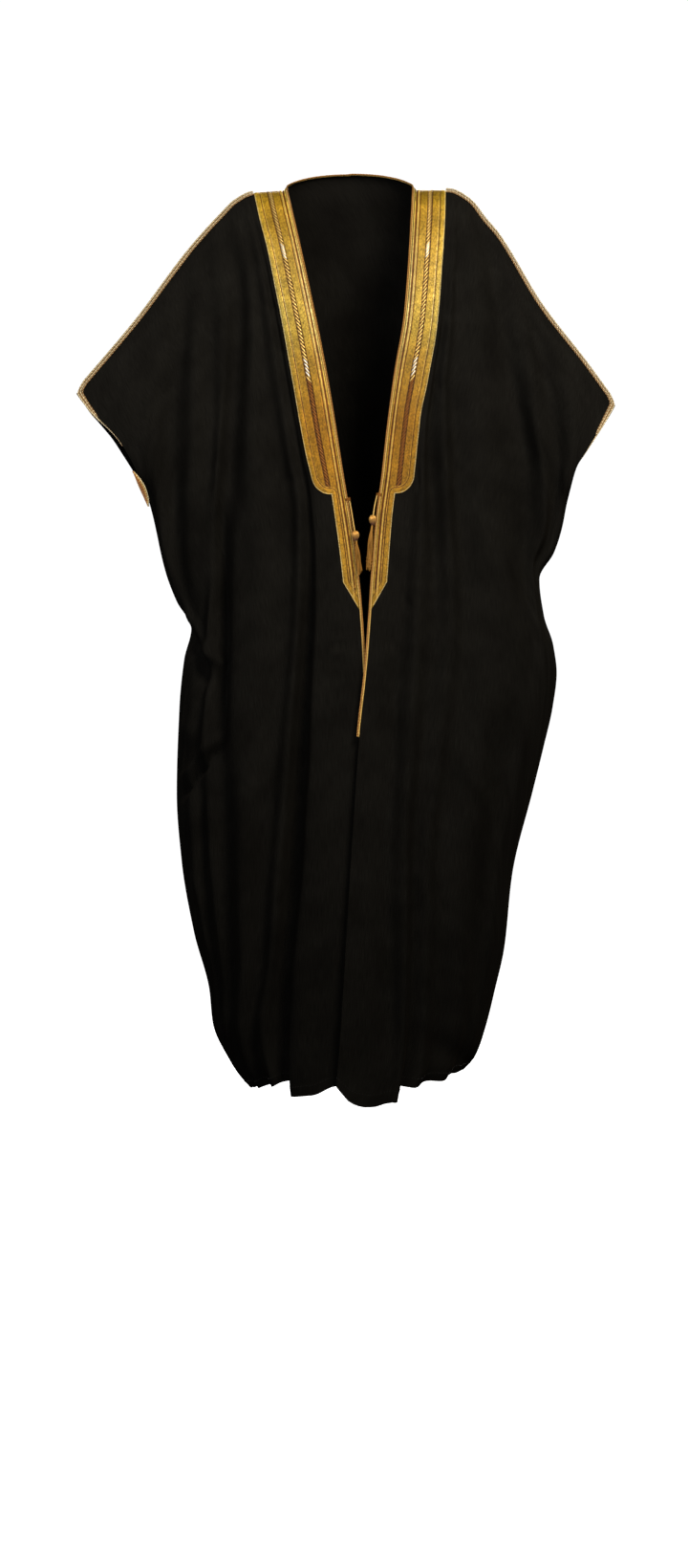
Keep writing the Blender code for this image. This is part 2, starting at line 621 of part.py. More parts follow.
# ----------------------------------------------------------------- the cords
def tube(name, route, radius, finish, closed=False):
    """A round cord along a route, with flat ends or joined into a ring."""
    route = np.asarray(route, float)
    if closed:
        ahead = np.roll(route, -1, axis=0)
        along = ahead - np.roll(route, 1, axis=0)
    else:
        along = np.gradient(route, axis=0)
    along /= np.linalg.norm(along, axis=1, keepdims=True)
    across = np.cross(along[0], OFF_CORD)
    points = []
    for centre, direction in zip(route, along):
        across = across - direction * np.dot(across, direction)
        across /= np.linalg.norm(across)
        other = np.cross(direction, across)
        for k in range(CORD_SIDES):
            angle = FULL_TURN * k / CORD_SIDES
            points.append(centre + radius * (np.cos(angle) * across + np.sin(angle) * other))
    count = len(route)
    triangles = []
    for i in range(count if closed else count - 1):
        start = i * CORD_SIDES
        after = (i + 1) % count * CORD_SIDES
        for k in range(CORD_SIDES):
            turn = (k + 1) % CORD_SIDES
            triangles.append((start + k, start + turn, after + k))
            triangles.append((start + turn, after + turn, after + k))
    if not closed:
        base = (count - 1) * CORD_SIDES
        for k in range(1, CORD_SIDES - 1):
            triangles.append((0, k + 1, k))
            triangles.append((base, base + k, base + k + 1))
    return add_mesh(name, points, triangles, finish)


def off_edge(edge, normals, inward):
    """Directions that leave an edge in the plane of its cloth."""
    tangent = np.gradient(edge, axis=0)
    away = unit(np.cross(tangent, normals))
    outside = np.sum(away * (edge - inward), axis=1, keepdims=True)
    return away * np.sign(outside)


def edge_cord(fronts, back_grid, finish):
    """The cord along both front edges and round the neck.  Returns its two front runs."""
    rows = slice(0, CORD_END_ROW + 1)
    runs = {}
    for side, (points, normals) in fronts.items():
        edge = points[rows, 0]
        away = off_edge(edge, normals[rows, 0], points[rows, 1])
        lift = normals[rows, 0] * (BAND_WALL / 2)
        runs[side] = edge + away * (CORD_RADIUS + REST_GAP) + lift
    c, points, normals = back_grid
    first, last = BACK_NECK
    neck = (c >= first) & (c <= last)
    edge = points[0, neck]
    away = off_edge(edge, normals[0, neck], points[1, neck])
    neck_run = (edge + away * (CORD_RADIUS + REST_GAP + BEND_CLEAR)
                + normals[0, neck] * (BAND_WALL / 2))
    neck_run[0] = (neck_run[0] + runs["right"][0]) / 2
    neck_run[-1] = (neck_run[-1] + runs["left"][0]) / 2
    route = np.vstack([runs["right"][:0:-1], neck_run, runs["left"][1:]])
    tube("edge_cord", route, CORD_RADIUS, finish)
    return runs


def shoulder_cord(side, points, normals, finish):
    """The cord on the shoulder seam, from the band to the hand opening."""
    start = len(BAND_RIBS) + 1
    ridge = points[0, start:] + normals[0, start:] * (SEAM_CORD_RADIUS + REST_GAP)
    tube(f"shoulder_cord_{side}", ridge, SEAM_CORD_RADIUS, finish)


def cuff_cord(side, front, back, finish):
    """The ring of cord round a hand opening, off the edges of the front and the back."""
    rows = slice(0, ROWS.index(CUFF_END) + 1)
    reach = SEAM_CORD_RADIUS + REST_GAP + BEND_CLEAR
    runs = []
    upward = []
    for edge, beyond, normals in (front, back):
        away = off_edge(edge[rows], normals[rows], beyond[rows])
        runs.append(edge[rows] + away * reach - normals[rows] * (WALL / 2))
        upward.append(unit(edge[rows][-2] - edge[rows][-1]))
    front_run, back_run = runs
    corner = (front_run[0] + back_run[0]) / 2
    seam_top = (front[0][rows][-1] + back[0][rows][-1]) / 2
    half_angle = np.arccos(np.dot(*upward)) / 2
    bottom = seam_top + unit(upward[0] + upward[1]) * reach / np.sin(half_angle)
    route = np.vstack([[corner], front_run[1:-1], [bottom], back_run[-2:0:-1]])
    tube(f"cuff_cord_{side}", route, SEAM_CORD_RADIUS, finish, closed=True)


# ------------------------------------------------------------------ the ties
def read_run(run, drop):
    """The edge cord's centre at a drop."""
    return np.array([np.interp(drop, -run[:, 2], run[:, axis]) for axis in range(3)])


def hang_point(side, run, place):
    """A point beside and before the edge cord."""
    centre = read_run(run, place.drop * MM)
    into_opening = 1 if side == "right" else -1
    return centre + np.array([into_opening * place.aside, -place.forward, 0]) * MM


def smooth_route(route, spacing):
    """Points about `spacing` apart on a smooth curve through a route."""
    route = np.asarray(route)
    reach = np.concatenate([[0], np.cumsum(np.linalg.norm(np.diff(route, axis=0), axis=1))])
    at = np.linspace(0, reach[-1], int(reach[-1] / spacing) + 2)
    return np.column_stack([smooth(reach, axis, at)[0] for axis in route.T])


def tie_cord(side, run, finish):
    """The free cord that hangs from the front edge to its bead."""
    route = [hang_point(side, run, place) for place in TIES[side].cord]
    curve = bpy.data.curves.new(f"tie_cord_{side}", "CURVE")
    curve.dimensions = "3D"
    curve.bevel_depth = TIE_RADIUS
    curve.bevel_resolution = 2
    curve.use_fill_caps = True
    spline = curve.splines.new("POLY")
    centres = smooth_route(route, TIE_SPACING)
    spline.points.add(len(centres) - 1)
    for point, centre in zip(spline.points, centres):
        point.co = (*map(float, centre), 1)
    curve.materials.append(finish)
    made = bpy.data.objects.new(f"tie_cord_{side}", curve)
    bpy.context.collection.objects.link(made)


def tie_bead(side, run, finish):
    """The oval knot, worked over in gold thread."""
    centre = hang_point(side, run, TIES[side].bead)
    mesh = bpy.data.meshes.new(f"tie_bead_{side}")
    ball = bmesh.new()
    bmesh.ops.create_uvsphere(ball, u_segments=BEAD_SIDES, v_segments=BEAD_RINGS, radius=1)
    bmesh.ops.scale(ball, vec=(BEAD_WIDTH / 2, BEAD_WIDTH / 2, BEAD_LENGTH / 2),
                    verts=ball.verts)
    bmesh.ops.translate(ball, vec=tuple(map(float, centre)), verts=ball.verts)
    ball.to_mesh(mesh)
    ball.free()
    mesh.shade_smooth()
    mesh.materials.append(finish)
    made = bpy.data.objects.new(f"tie_bead_{side}", mesh)
    bpy.context.collection.objects.link(made)


def tie_tassel(side, run, finish):
    """Strands that hang from one head: a square net of cells, every second one drawn down."""
    places = TIES[side].tassel
    line = np.array([hang_point(side, run, place) for place in places])
    lines = 2 * STRANDS_ACROSS
    spread = np.linspace(-1, 1, lines)
    across, along = np.meshgrid(spread, spread, indexing="ij")
    squeeze = 1 / np.sqrt(1 + across ** 2 * along ** 2)
    net = np.stack([across * squeeze, along * squeeze, np.zeros_like(across)], axis=2)
    net = net.reshape(-1, 3) * TASSEL_WIDTH / 2
    layers = [line[0] + net * TASSEL_NECK, line[1] + net]
    points = list(np.vstack(layers))
    count = lines * lines
    triangles = []

    def quad(a, b, c, d):
        triangles.append((a, b, c))
        triangles.append((a, c, d))

    for i in range(lines - 1):
        for j in range(lines - 1):
            corners = [i * lines + j, (i + 1) * lines + j, (i + 1) * lines + j + 1,
                       i * lines + j + 1]
            quad(*corners)
            low = [corner + count for corner in corners]
            if i % 2 or j % 2:
                quad(*low[::-1])
                continue
            phase = (i // 2 * STRANDS_ACROSS + j // 2) * STRAND_PHASE
            for step in range(2, len(line)):
                at_end = step == len(line) - 1
                sway = TASSEL_SWAY * np.sin(phase + step) * (step - 1)
                shorten = STRAND_UNEVEN * abs(np.sin(phase)) * at_end
                move = line[step] - line[1] + np.array([sway, sway / 2, shorten])
                ring = [points[corner + count] + move for corner in corners]
                new = list(range(len(points), len(points) + 4))
                points.extend(ring)
                for k in range(4):
                    quad(low[k], new[k], new[(k + 1) % 4], low[(k + 1) % 4])
                low = new
            quad(*low[::-1])
    border = [(i, 0) for i in range(lines - 1)] + [(lines - 1, j) for j in range(lines - 1)]
    border += [(i, lines - 1) for i in range(lines - 1, 0, -1)]
    border += [(0, j) for j in range(lines - 1, 0, -1)]
    ids = [i * lines + j for i, j in border]
    for a, b in zip(ids, ids[1:] + ids[:1]):
        quad(a, a + count, b + count, b)
    add_mesh(f"tie_tassel_{side}", points, triangles, finish)


def main():
    """Build the cloak."""
    for old in list(bpy.data.objects):
        bpy.data.objects.remove(old)
    black_wool = material("fine black wool", (0.010, 0.009, 0.008), 0.75, 0.0)
    zari = material("gold zari embroidery", (0.62, 0.40, 0.10), 0.42, 0.75)
    gold_cord = material("gold zari cord", (0.70, 0.52, 0.20), 0.38, 0.8)

    fronts = {side: make_front(side, black_wool, zari) for side in ("right", "left")}
    back_grid = make_back(black_wool, zari)
    _, back_points, back_normals = back_grid
    back_columns = {"right": (0, 1), "left": (-1, -2)}
    runs = edge_cord(fronts, back_grid, gold_cord)
    for side, front in fronts.items():
        shoulder_cord(side, *front, gold_cord)
        points, normals = front
        edge, beyond = back_columns[side]
        cuff_cord(side, (points[:, -1], points[:, -2], normals[:, -1]),
                  (back_points[:, edge], back_points[:, beyond], back_normals[:, edge]),
                  gold_cord)
        tie_cord(side, runs[side], gold_cord)
        tie_bead(side, runs[side], gold_cord)
        tie_tassel(side, runs[side], gold_cord)


main()
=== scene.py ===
# %% [markdown]
# # A bisht: a wide black cloak with gold zari bands
#
# A bisht is cut almost flat and square and hangs open in front.  Its shape on a
# wearer comes from where it is held, at the shoulders and the neck, and from how
# the rest falls.  This lesson dresses the cloak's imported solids: it rebuilds
# each cloth piece as a fine thin shell on the same surface, works the gold
# thread bands stitch by stitch, and twists the cords from strands.
#
# Everything is in metres, with +Z up.  The fronts face -Y, and the origin lies
# between the shoulders at the height of the neck points.

# %% Load the solids that everything is fitted to
from collections import namedtuple

import bpy
import numpy as np
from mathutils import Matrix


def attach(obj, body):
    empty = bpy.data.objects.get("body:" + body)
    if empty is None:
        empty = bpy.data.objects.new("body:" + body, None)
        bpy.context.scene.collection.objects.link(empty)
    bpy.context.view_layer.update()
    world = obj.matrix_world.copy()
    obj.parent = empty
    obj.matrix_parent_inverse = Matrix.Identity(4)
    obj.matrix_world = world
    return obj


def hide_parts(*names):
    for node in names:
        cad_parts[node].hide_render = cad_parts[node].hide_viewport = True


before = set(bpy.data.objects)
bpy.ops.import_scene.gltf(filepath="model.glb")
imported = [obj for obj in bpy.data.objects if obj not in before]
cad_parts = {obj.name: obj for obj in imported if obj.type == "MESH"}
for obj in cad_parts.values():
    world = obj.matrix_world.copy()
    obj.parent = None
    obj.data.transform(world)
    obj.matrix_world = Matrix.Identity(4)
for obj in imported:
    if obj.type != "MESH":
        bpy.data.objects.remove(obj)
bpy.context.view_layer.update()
MM = 0.001
FULL_TURN = 2 * np.pi

# %% [markdown]
# ## A few small helpers
#
# Colours are easier to judge as the hex values of a paint chart, but Blender's
# shaders work in linear light, so one function turns the first into the second.
# Another adds one node to any tree, with its settings and its links, which keeps
# each material and each Geometry Nodes tree down to a line or two a node.

# %% Colours and nodes
def linear(hex_colour):
    """A paint chart's sRGB hex value as linear red, green, blue and alpha."""
    parts = np.array([int(hex_colour[k:k + 2], 16) for k in (1, 3, 5)]) / 255
    low = parts / 12.92
    high = ((parts + 0.055) / 1.055) ** 2.4
    return (*map(float, np.where(parts <= 0.04045, low, high)), 1.0)


def feed(node, inputs):
    """Give each input a value or its source: an output, or a node's first one in use."""
    for socket, value in inputs.items():
        if isinstance(value, bpy.types.Node):
            value = next(output for output in value.outputs if output.enabled)
        if isinstance(value, bpy.types.NodeSocket):
            node.id_data.links.new(value, node.inputs[socket])
        else:
            node.inputs[socket].default_value = value
    return node


def add_node(tree, kind, inputs=None, **settings):
    """Add a node with its settings, and feed its inputs."""
    made = tree.nodes.new(kind)
    for name, value in settings.items():
        setattr(made, name, value)
    return feed(made, inputs or {})


def new_finish(name, inputs):
    """A new material, its node tree, and its shader with these inputs."""
    made = bpy.data.materials.new(name)
    made.use_nodes = True
    return made, made.node_tree, feed(made.node_tree.nodes["Principled BSDF"], inputs)


def fill_ramp(node, stops, kind="LINEAR"):
    """Give a colour ramp its stops: a position and a hex colour each."""
    ramp = node.color_ramp
    ramp.interpolation = kind
    while len(ramp.elements) < len(stops):
        ramp.elements.new(1.0)
    for element, (position, colour) in zip(ramp.elements, stops):
        element.position = position
        element.color = linear(colour)


def add_object(name, data):
    """A new object in the scene."""
    made = bpy.data.objects.new(name, data)
    bpy.context.collection.objects.link(made)
    return made


print("a warm black:", [round(part, 4) for part in linear("#16130F")])

# %% [markdown]
# ## Camera and studio
#
# The camera stands 6 m in front, level with the middle of the picture, and its
# lens is worked out from the height that the frame has to take in.  The floor is
# white paper with a glow of its own, and the world shows the camera the same
# white, so no line or wall stands behind the cloak, whichever side is seen.  Both
# glows are kept off the cloth, as a flag would do, or black would turn grey.  Black
# cloth shows its folds only where light rakes them, so one wide light stands high
# at the side, a weaker one fills from the other side, and a third lights the back.

# %% Camera
FRAME_HEIGHT = 2.46      # what the picture's height takes in at the cloak
CAMERA_DISTANCE = 6.0
SENSOR = 36.0
AIM = (-0.012, 0.0, -0.9345)

lens = bpy.data.cameras.new("camera")
lens.sensor_fit = "VERTICAL"
lens.sensor_height = SENSOR
lens.lens = SENSOR * CAMERA_DISTANCE / FRAME_HEIGHT
camera = add_object("camera", lens)
camera.location = (AIM[0], AIM[1] - CAMERA_DISTANCE, AIM[2])
camera.rotation_euler = (np.pi / 2, 0, 0)
bpy.context.scene.camera = camera
print("lens:", round(lens.lens, 1), "mm")

# %% Paper floor
FLOOR = -1.50            # the hem hangs a few centimetres above it
FLOOR_HALF = 12.0

corners = [(-1, -1), (1, -1), (1, 1), (-1, 1)]
floor_mesh = bpy.data.meshes.new("paper_floor")
floor_mesh.from_pydata([(x * FLOOR_HALF, y * FLOOR_HALF, FLOOR) for x, y in corners], [],
                       [(0, 1, 2, 3)])
floor = add_object("paper_floor", floor_mesh)
floor.visible_diffuse = False

# Matt studio paper: coated wood pulp, with a faint tooth that kills every gleam.
paper, tree, shader = new_finish("matt_studio_paper", {
    "Base Color": linear("#F4F4F3"), "Roughness": 0.95,
    "Emission Color": linear("#FFFFFF"), "Emission Strength": 1.0})
tooth = add_node(tree, "ShaderNodeTexNoise", {"Scale": 300.0, "Detail": 3.0})
bump = add_node(tree, "ShaderNodeBump", {"Height": tooth, "Strength": 0.05, "Distance": MM})
feed(shader, {"Normal": bump})
floor_mesh.materials.append(paper)
print("floor:", 2 * FLOOR_HALF, "m square")

# %% Lights
LIGHTS = [      # name, place, aim, size, watts, colour
    ("key", (1.3, -2.75, 1.9), (0, 0, -0.1), (1.2, 1.6), 158, "#FFF6EA"),
    ("fill", (-1.6, -2.9, 1.2), (0, 0, -0.1), (1.8, 1.8), 46, "#F8F8FF"),
    ("rear", (0.5, 2.4, 0.7), (0, 0, -0.5), (1.4, 1.4), 60, "#FFFFFF"),
]
for name, place, aim, size, watts, colour in LIGHTS:
    area = bpy.data.lights.new(name, "AREA")
    area.shape = "RECTANGLE"
    area.size, area.size_y = size
    area.energy = watts
    area.color = linear(colour)[:3]
    lamp = add_object(name, area)
    lamp.location = place
    lamp.visible_camera = False
    towards = np.array(aim) - np.array(place)
    flat = float(np.hypot(towards[0], towards[1]))
    lamp.rotation_euler = (float(np.arctan2(flat, -towards[2])), 0,
                           float(np.arctan2(-towards[0], towards[1])))
    print(name, "light:", watts, "W")

# %% The world: white to look at, and a faint light on the cloak
WORLD_SEEN = 1.05
WORLD_LIGHT = 0.11

world = bpy.data.worlds.new("studio")
world.use_nodes = True
tree = world.node_tree
ray = add_node(tree, "ShaderNodeLightPath")
strength = add_node(tree, "ShaderNodeMapRange", {
    "Value": ray.outputs["Is Camera Ray"], "To Min": WORLD_LIGHT, "To Max": WORLD_SEEN})
feed(tree.nodes["Background"], {"Color": linear("#FFFFFF"), "Strength": strength})
bpy.context.scene.world = world
bpy.context.scene.view_settings.view_transform = "Standard"
print("world:", WORLD_SEEN, "to the camera,", WORLD_LIGHT, "to the cloak")

# %% [markdown]
# ## Reading smooth shapes from short tables
#
# A dressmaker keeps a cloak's shape as a few measurements at named places.  The
# tables here do the same, and one curve reads them.  It never overshoots: where
# a table rises, the curve rises, so no false ripple appears between two places.

# %% One smooth reading for every table
def unit(directions):
    """The same directions, one long."""
    return directions / np.linalg.norm(directions, axis=-1, keepdims=True)


def ease(t):
    """A soft step from 0 to 1."""
    t = np.clip(t, 0, 1)
    return t * t * (3 - 2 * t)


def blend(start, end, share):
    """A share of the way from one value to another."""
    return start + (end - start) * share


def smooth(stations, values, at, level_start=False):
    """Read a table at the places `at` (rows by columns), without overshoot.

    `values` is one row for all of `at`, or one row for each row of it.
    """
    stations = np.asarray(stations, float)
    values = np.atleast_2d(np.asarray(values, float))
    at = np.clip(np.atleast_2d(at), stations[0], stations[-1])
    width = np.diff(stations)
    rise = np.diff(values, axis=1) / width
    product = rise[:, :-1] * rise[:, 1:]
    total = rise[:, :-1] + rise[:, 1:]
    slope = np.empty_like(values)
    slope[:, 0] = 0 if level_start else rise[:, 0]
    slope[:, -1] = rise[:, -1]
    slope[:, 1:-1] = np.where(product > 0, 2 * product / np.where(total == 0, 1, total), 0)
    cell = np.clip(np.searchsorted(stations, at, side="right") - 1, 0, len(width) - 1)
    line = np.arange(len(at))[:, None] if len(values) > 1 else np.zeros((1, 1), int)
    t = (at - stations[cell]) / width[cell]
    low = values[line, cell]
    high = values[line, cell + 1]
    lift = width[cell] * (slope[line, cell] * t * (1 - t) ** 2
                          - slope[line, cell + 1] * t ** 2 * (1 - t))
    return low + (high - low) * t ** 2 * (3 - 2 * t) + lift


print("halfway through a table:", smooth([0, 1, 2], [0, 1, 1], 0.5)[0, 0])

# %% [markdown]
# ## The cloak's measurements
#
# These are the cut and hang of the cloak: its outlines seen from the front, how
# far it stands before or behind the shoulder line, and its main crease lines.
# They are the same values that the solids were built from, so each shell made
# here lies on its solid.

# %% Outlines, seen from the front
# out: from the centre line.  drop: below the origin.  Typed in mm, kept in metres.
Station = namedtuple("Station", "out drop")


def measured(*places):
    """Stations from pairs of out and drop in mm."""
    return [Station(out * MM, drop * MM) for out, drop in places]


OUTWARD = {"right": -1, "left": 1}   # which way X runs from the centre line outwards
CUFF_END = 0.16          # share of the length where the hand opening closes
CUFF_PEEK = {"right": 0.009, "left": 0.0}   # the back edge swings outside the front edge
NECK_DEPTH = 0.075       # how far the back of the neck lies behind the shoulder line
NECK_RISE = 0.036        # how far it stands above the neck points
BACK_LENGTH = 1.418      # origin to the hem at the centre back

# The shoulder seam, from the neck point to the top corner of the hand opening.
SHOULDER = {
    "right": measured(
        (105, 5), (155, 11), (180, 24), (200, 44), (250.5, 102), (333, 215), (424, 326)),
    "left": measured(
        (99.5, 4), (153, 7), (181.5, 22), (207, 54), (226.5, 78), (294, 191),
        (361.5, 281), (406, 344)),
}
# The outer edge: the hand opening, then the side seam down to the hem.
SIDE = {
    "right": measured(
        (424, 326), (403, 357), (361, 402), (335, 447), (314, 500), (290, 604.5),
        (273, 650), (250.5, 691.5), (262, 739.5), (270, 814.5), (274.5, 950),
        (267, 1054.5), (247.5, 1167), (223.5, 1257), (218, 1309.5), (192, 1366.5),
        (159, 1410)),
    "left": measured(
        (406, 344), (387, 379.5), (360, 424.5), (347, 447), (335.5, 492), (327, 537),
        (315, 574.5), (292.5, 615), (300, 672), (315, 717), (321, 762), (315, 814.5),
        (301.5, 874.5), (285, 942), (252, 1077), (240, 1189.5), (225, 1257), (210, 1317),
        (193.5, 1362), (175.5, 1381.5)),
}
# The front edge.  Below the waist each front crosses the centre line.
FRONT_EDGE = {
    "right": measured(
        (105, 5), (72.5, 154.5), (42.5, 304.5), (17, 462), (-1, 574.5), (-11, 664.5),
        (-16.5, 754.5), (-21, 859.5), (-24.5, 950), (-23, 1100), (-17, 1300),
        (-12, 1396)),
    "left": measured(
        (99.5, 4), (92, 124.5), (84.5, 214.5), (69.5, 304.5), (57.5, 394.5), (50, 462),
        (41, 529.5), (33.5, 619.5), (30.5, 664.5), (23.5, 754.5), (12, 859.5),
        (-1.5, 1054.5), (-10.5, 1204.5), (-18, 1324.5), (-24, 1396)),
}

# How far the hem dips: a share of the width, from the front edge to the side or
# from side to side on the back, and mm.
HEM = {
    "right": [(0, 0), (0.20, 0), (0.42, 13), (0.57, 13), (0.68, -6), (0.80, 0), (1, 0)],
    "left": [(0, 0), (0.12, 26), (0.26, 34), (0.45, 30), (0.53, 10), (0.81, 4), (1, 0)],
    "back": [(-1, 0), (-0.6, 6), (-0.25, -4), (0, 5), (0.3, -3), (0.65, 6), (1, 0)],
}
HEM_ZONE = 0.12          # share of the length over which a dip grows
print("from hand to hand:",
      round(SHOULDER["right"][-1].out + SHOULDER["left"][-1].out, 3), "m")

# %% Depth on the figure
# Each row is a share of the length, and the depth there in mm, forward (-) or back
# (+) of the shoulder line, at five places round the half width.  From the foot of
# the hand opening down, the side seam's own table gives the last one.
ROUND = np.radians([0, 20, 45, 65, 90])

FRONT_SECTIONS = np.array([
    (0.02, -46, -48, -70, -84, -88),
    (0.06, -76, -76, -88, -102, -102),
    (0.12, -104, -98, -96, -104, -94),
    (0.16, -116, -108, -100, -92, -62),
    (0.27, -136, -126, -106, -78, -45),
    (0.48, -146, -134, -102, -62, -8),
    (0.76, -150, -138, -104, -60, 0),
    (1.00, -156, -144, -108, -62, 0),
])
BACK_SECTIONS = np.array([
    (0.02, 88, 40, 4, -32, -52),
    (0.06, 106, 78, 28, -18, -38),
    (0.12, 122, 106, 42, -8, -44),
    (0.16, 128, 114, 50, -2, -62),
    (0.27, 138, 128, 76, 26, -45),
    (0.48, 138, 132, 98, 56, -8),
    (0.76, 142, 136, 104, 60, 0),
    (1.00, 150, 144, 108, 64, 0),
])
# How far back the side seam lies, where both pieces meet: shares of length, and mm.
SIDE_SEAM = [(CUFF_END, -62), (0.27, -45), (0.48, -8), (0.76, 0), (1, 0)]
# The left front laps over the right one: how far it stands in front of it.
LAP = [(0, 0), (0.38, 2), (0.48, 9), (0.76, 16), (1, 20)]

ARM_REACH = 0.22         # the arms carry the shoulder seam forward, for each metre out
print("levels of depth:", len(FRONT_SECTIONS))

# %% Main crease lines
# Each crease line: its name, the share of the width where it lies at each level,
# and how far it stands out (+) or falls in (-) there, in mm.
LEVELS = (0.0, 0.06, 0.12, 0.20, 0.27, 0.38, 0.48, 0.76, 1.0)
NONE = (0,) * len(LEVELS)
FRONT_START = ("front edge", NONE, NONE)
FRONT_SIDE = ("side", (1,) * len(LEVELS), NONE)

FRONT_CREASES = {}
FRONT_CREASES["right"] = [
    FRONT_START,
    ("band edge", (.150, .165, .180, .190, .190, .180, .175, .210, .330),
     (0, 0, 0, 0, 0, 2, 4, 5, 4)),
    ("lip", (.165, .180, .196, .206, .208, .205, .235, .370, .580),
     (0, 0, 0, -1, -3, 1, 7, 12, 10)),
    ("edge trough", (.180, .194, .212, .226, .228, .236, .285, .420, .655),
     (0, -2, -4, -7, -9, -14, -17, -17, -18)),
    ("first rib", (.198, .212, .238, .262, .272, .292, .335, .500, .760),
     (0, 2, 4, 3, 4, 6, 6, 6, 6)),
    ("soft trough", (.222, .245, .285, .325, .335, .360, .400, .585, .835),
     (0, -1, -3, -5, -6, -6, -6, -7, -6)),
    ("broad rib", (.258, .278, .325, .420, .490, .580, .590, .695, .890),
     (0, 2, 3, 6, 9, 12, 12, 12, 5)),
    ("deep trough", (.315, .335, .410, .540, .625, .735, .740, .800, .925),
     (0, -5, -10, -15, -20, -24, -20, -12, -4)),
    ("inner side rib", (.355, .412, .490, .605, .695, .820, .810, .862, .950),
     (0, 3, 5, 8, 8, 6, 7, 5, 1)),
    ("side trough", (.392, .472, .565, .672, .752, .872, .862, .905, .965),
     (0, -2, -3, -5, -7, -20, -15, -6, -1)),
    ("bright rib", (.428, .545, .665, .790, .868, .915, .912, .937, .978),
     (0, 4, 8, 9, 6, 3, 4, 3, 1)),
    ("sleeve trough", (.490, .635, .790, .890, .940, .955, .955, .965, .989),
     (0, -5, -10, -12, -7, -4, -3, -2, 0)),
    ("sleeve rib", (.690, .810, .915, .955, .975, .980, .980, .984, .995),
     (0, 4, 5, 3, 1, 0, 0, 0, 0)),
    FRONT_SIDE,
]
FRONT_CREASES["left"] = [
    FRONT_START,
    ("band edge", (.155, .175, .190, .195, .190, .172, .175, .235, .365),
     (0, 0, 0, 0, 0, -3, -8, -10, -6)),
    ("first rib", (.166, .186, .203, .212, .225, .228, .245, .330, .435),
     (0, 0, 0, 2, 5, 9, 10, 9, 9)),
    ("band trough", (.180, .202, .222, .234, .262, .305, .345, .395, .525),
     (0, 0, -2, -7, -11, -7, -4, -5, -13)),
    ("second rib", (.196, .232, .255, .274, .350, .385, .430, .465, .590),
     (0, 2, 4, 5, 8, 8, 6, 6, 6)),
    ("soft trough", (.216, .262, .298, .330, .440, .470, .520, .555, .700),
     (0, -2, -4, -6, -7, -6, -5, -6, -6)),
    ("broad rib", (.262, .360, .425, .500, .640, .650, .665, .695, .815),
     (0, 4, 6, 8, 9, 9, 9, 8, 5)),
    ("arm trough", (.318, .470, .650, .785, .905, .870, .855, .845, .900),
     (0, -5, -13, -16, -11, -6, -4, -6, -3)),
    ("bright rib", (.420, .640, .785, .900, .945, .920, .905, .900, .940),
     (0, 5, 9, 9, 4, 1, 0, 1, 0)),
    ("sleeve trough", (.540, .752, .905, .955, .970, .955, .945, .940, .965),
     (0, -5, -9, -9, -4, -1, 0, -1, 0)),
    ("sleeve rib", (.760, .905, .965, .982, .987, .980, .975, .972, .985),
     (0, 3, 4, 2, 1, 0, 0, 0, 0)),
    FRONT_SIDE,
]

# The back hangs from the neck seam and the shoulder blades.  Its shares run
# from -1 at the wearer's right side, through 0 at the centre, to 1.
BACK_LEVELS = (0.0, 0.03, 0.12, 0.30, 0.55, 1.0)
BACK_CREASES = [
    ("right side", (-1, -1, -1, -1, -1, -1), (0, 0, 0, 0, 0, 0)),
    ("right sleeve trough", (-.86, -.87, -.90, -.93, -.93, -.95), (0, -1, -7, -6, -4, -1)),
    ("right sleeve rib", (-.74, -.76, -.80, -.85, -.86, -.88), (0, 1, 7, 8, 6, 4)),
    ("right arm trough", (-.60, -.63, -.68, -.74, -.75, -.77), (0, -2, -11, -16, -15, -12)),
    ("right blade rib", (-.48, -.50, -.53, -.58, -.60, -.64), (0, 1, 6, 12, 14, 13)),
    ("right blade trough", (-.36, -.41, -.42, -.43, -.45, -.49), (0, -1, -6, -13, -18, -17)),
    ("right neck point", (-.2465, -.32, -.31, -.30, -.31, -.33), (0, 1, 3, 9, 13, 15)),
    ("right neck turn", (-.2135, -.255, -.25, -.24, -.24, -.25), (0, 0, 0, 0, 2, 3)),
    ("right neck trough", (-.1232, -.14, -.14, -.14, -.14, -.14), (0, -1, -3, -9, -15, -18)),
    ("centre", (0, 0, 0, .01, .01, 0), (0, 0, 1, 7, 11, 14)),
    ("left neck trough", (.122, .14, .14, .15, .16, .16), (0, 0, -2, -8, -13, -15)),
    ("left neck turn", (.2112, .255, .25, .25, .25, .26), (0, 0, 0, 0, 1, 2)),
    ("left neck point", (.2439, .32, .31, .31, .32, .34), (0, 1, 3, 8, 12, 14)),
    ("left blade trough", (.35, .41, .42, .44, .46, .48), (0, -1, -5, -11, -15, -17)),
    ("left blade rib", (.47, .49, .52, .56, .59, .62), (0, 1, 6, 11, 14, 14)),
    ("left arm trough", (.59, .62, .67, .72, .73, .75), (0, -2, -10, -14, -13, -12)),
    ("left sleeve rib", (.73, .75, .80, .84, .85, .86), (0, 1, 7, 8, 6, 5)),
    ("left sleeve trough", (.86, .87, .90, .92, .93, .94), (0, -1, -7, -6, -3, -1)),
    ("left side", (1, 1, 1, 1, 1, 1), (0, 0, 0, 0, 0, 0)),
]
BACK_NECK = (6, 12)      # the columns of the two neck points
print("crease lines:", {side: len(rows) for side, rows in FRONT_CREASES.items()},
      "back:", len(BACK_CREASES))

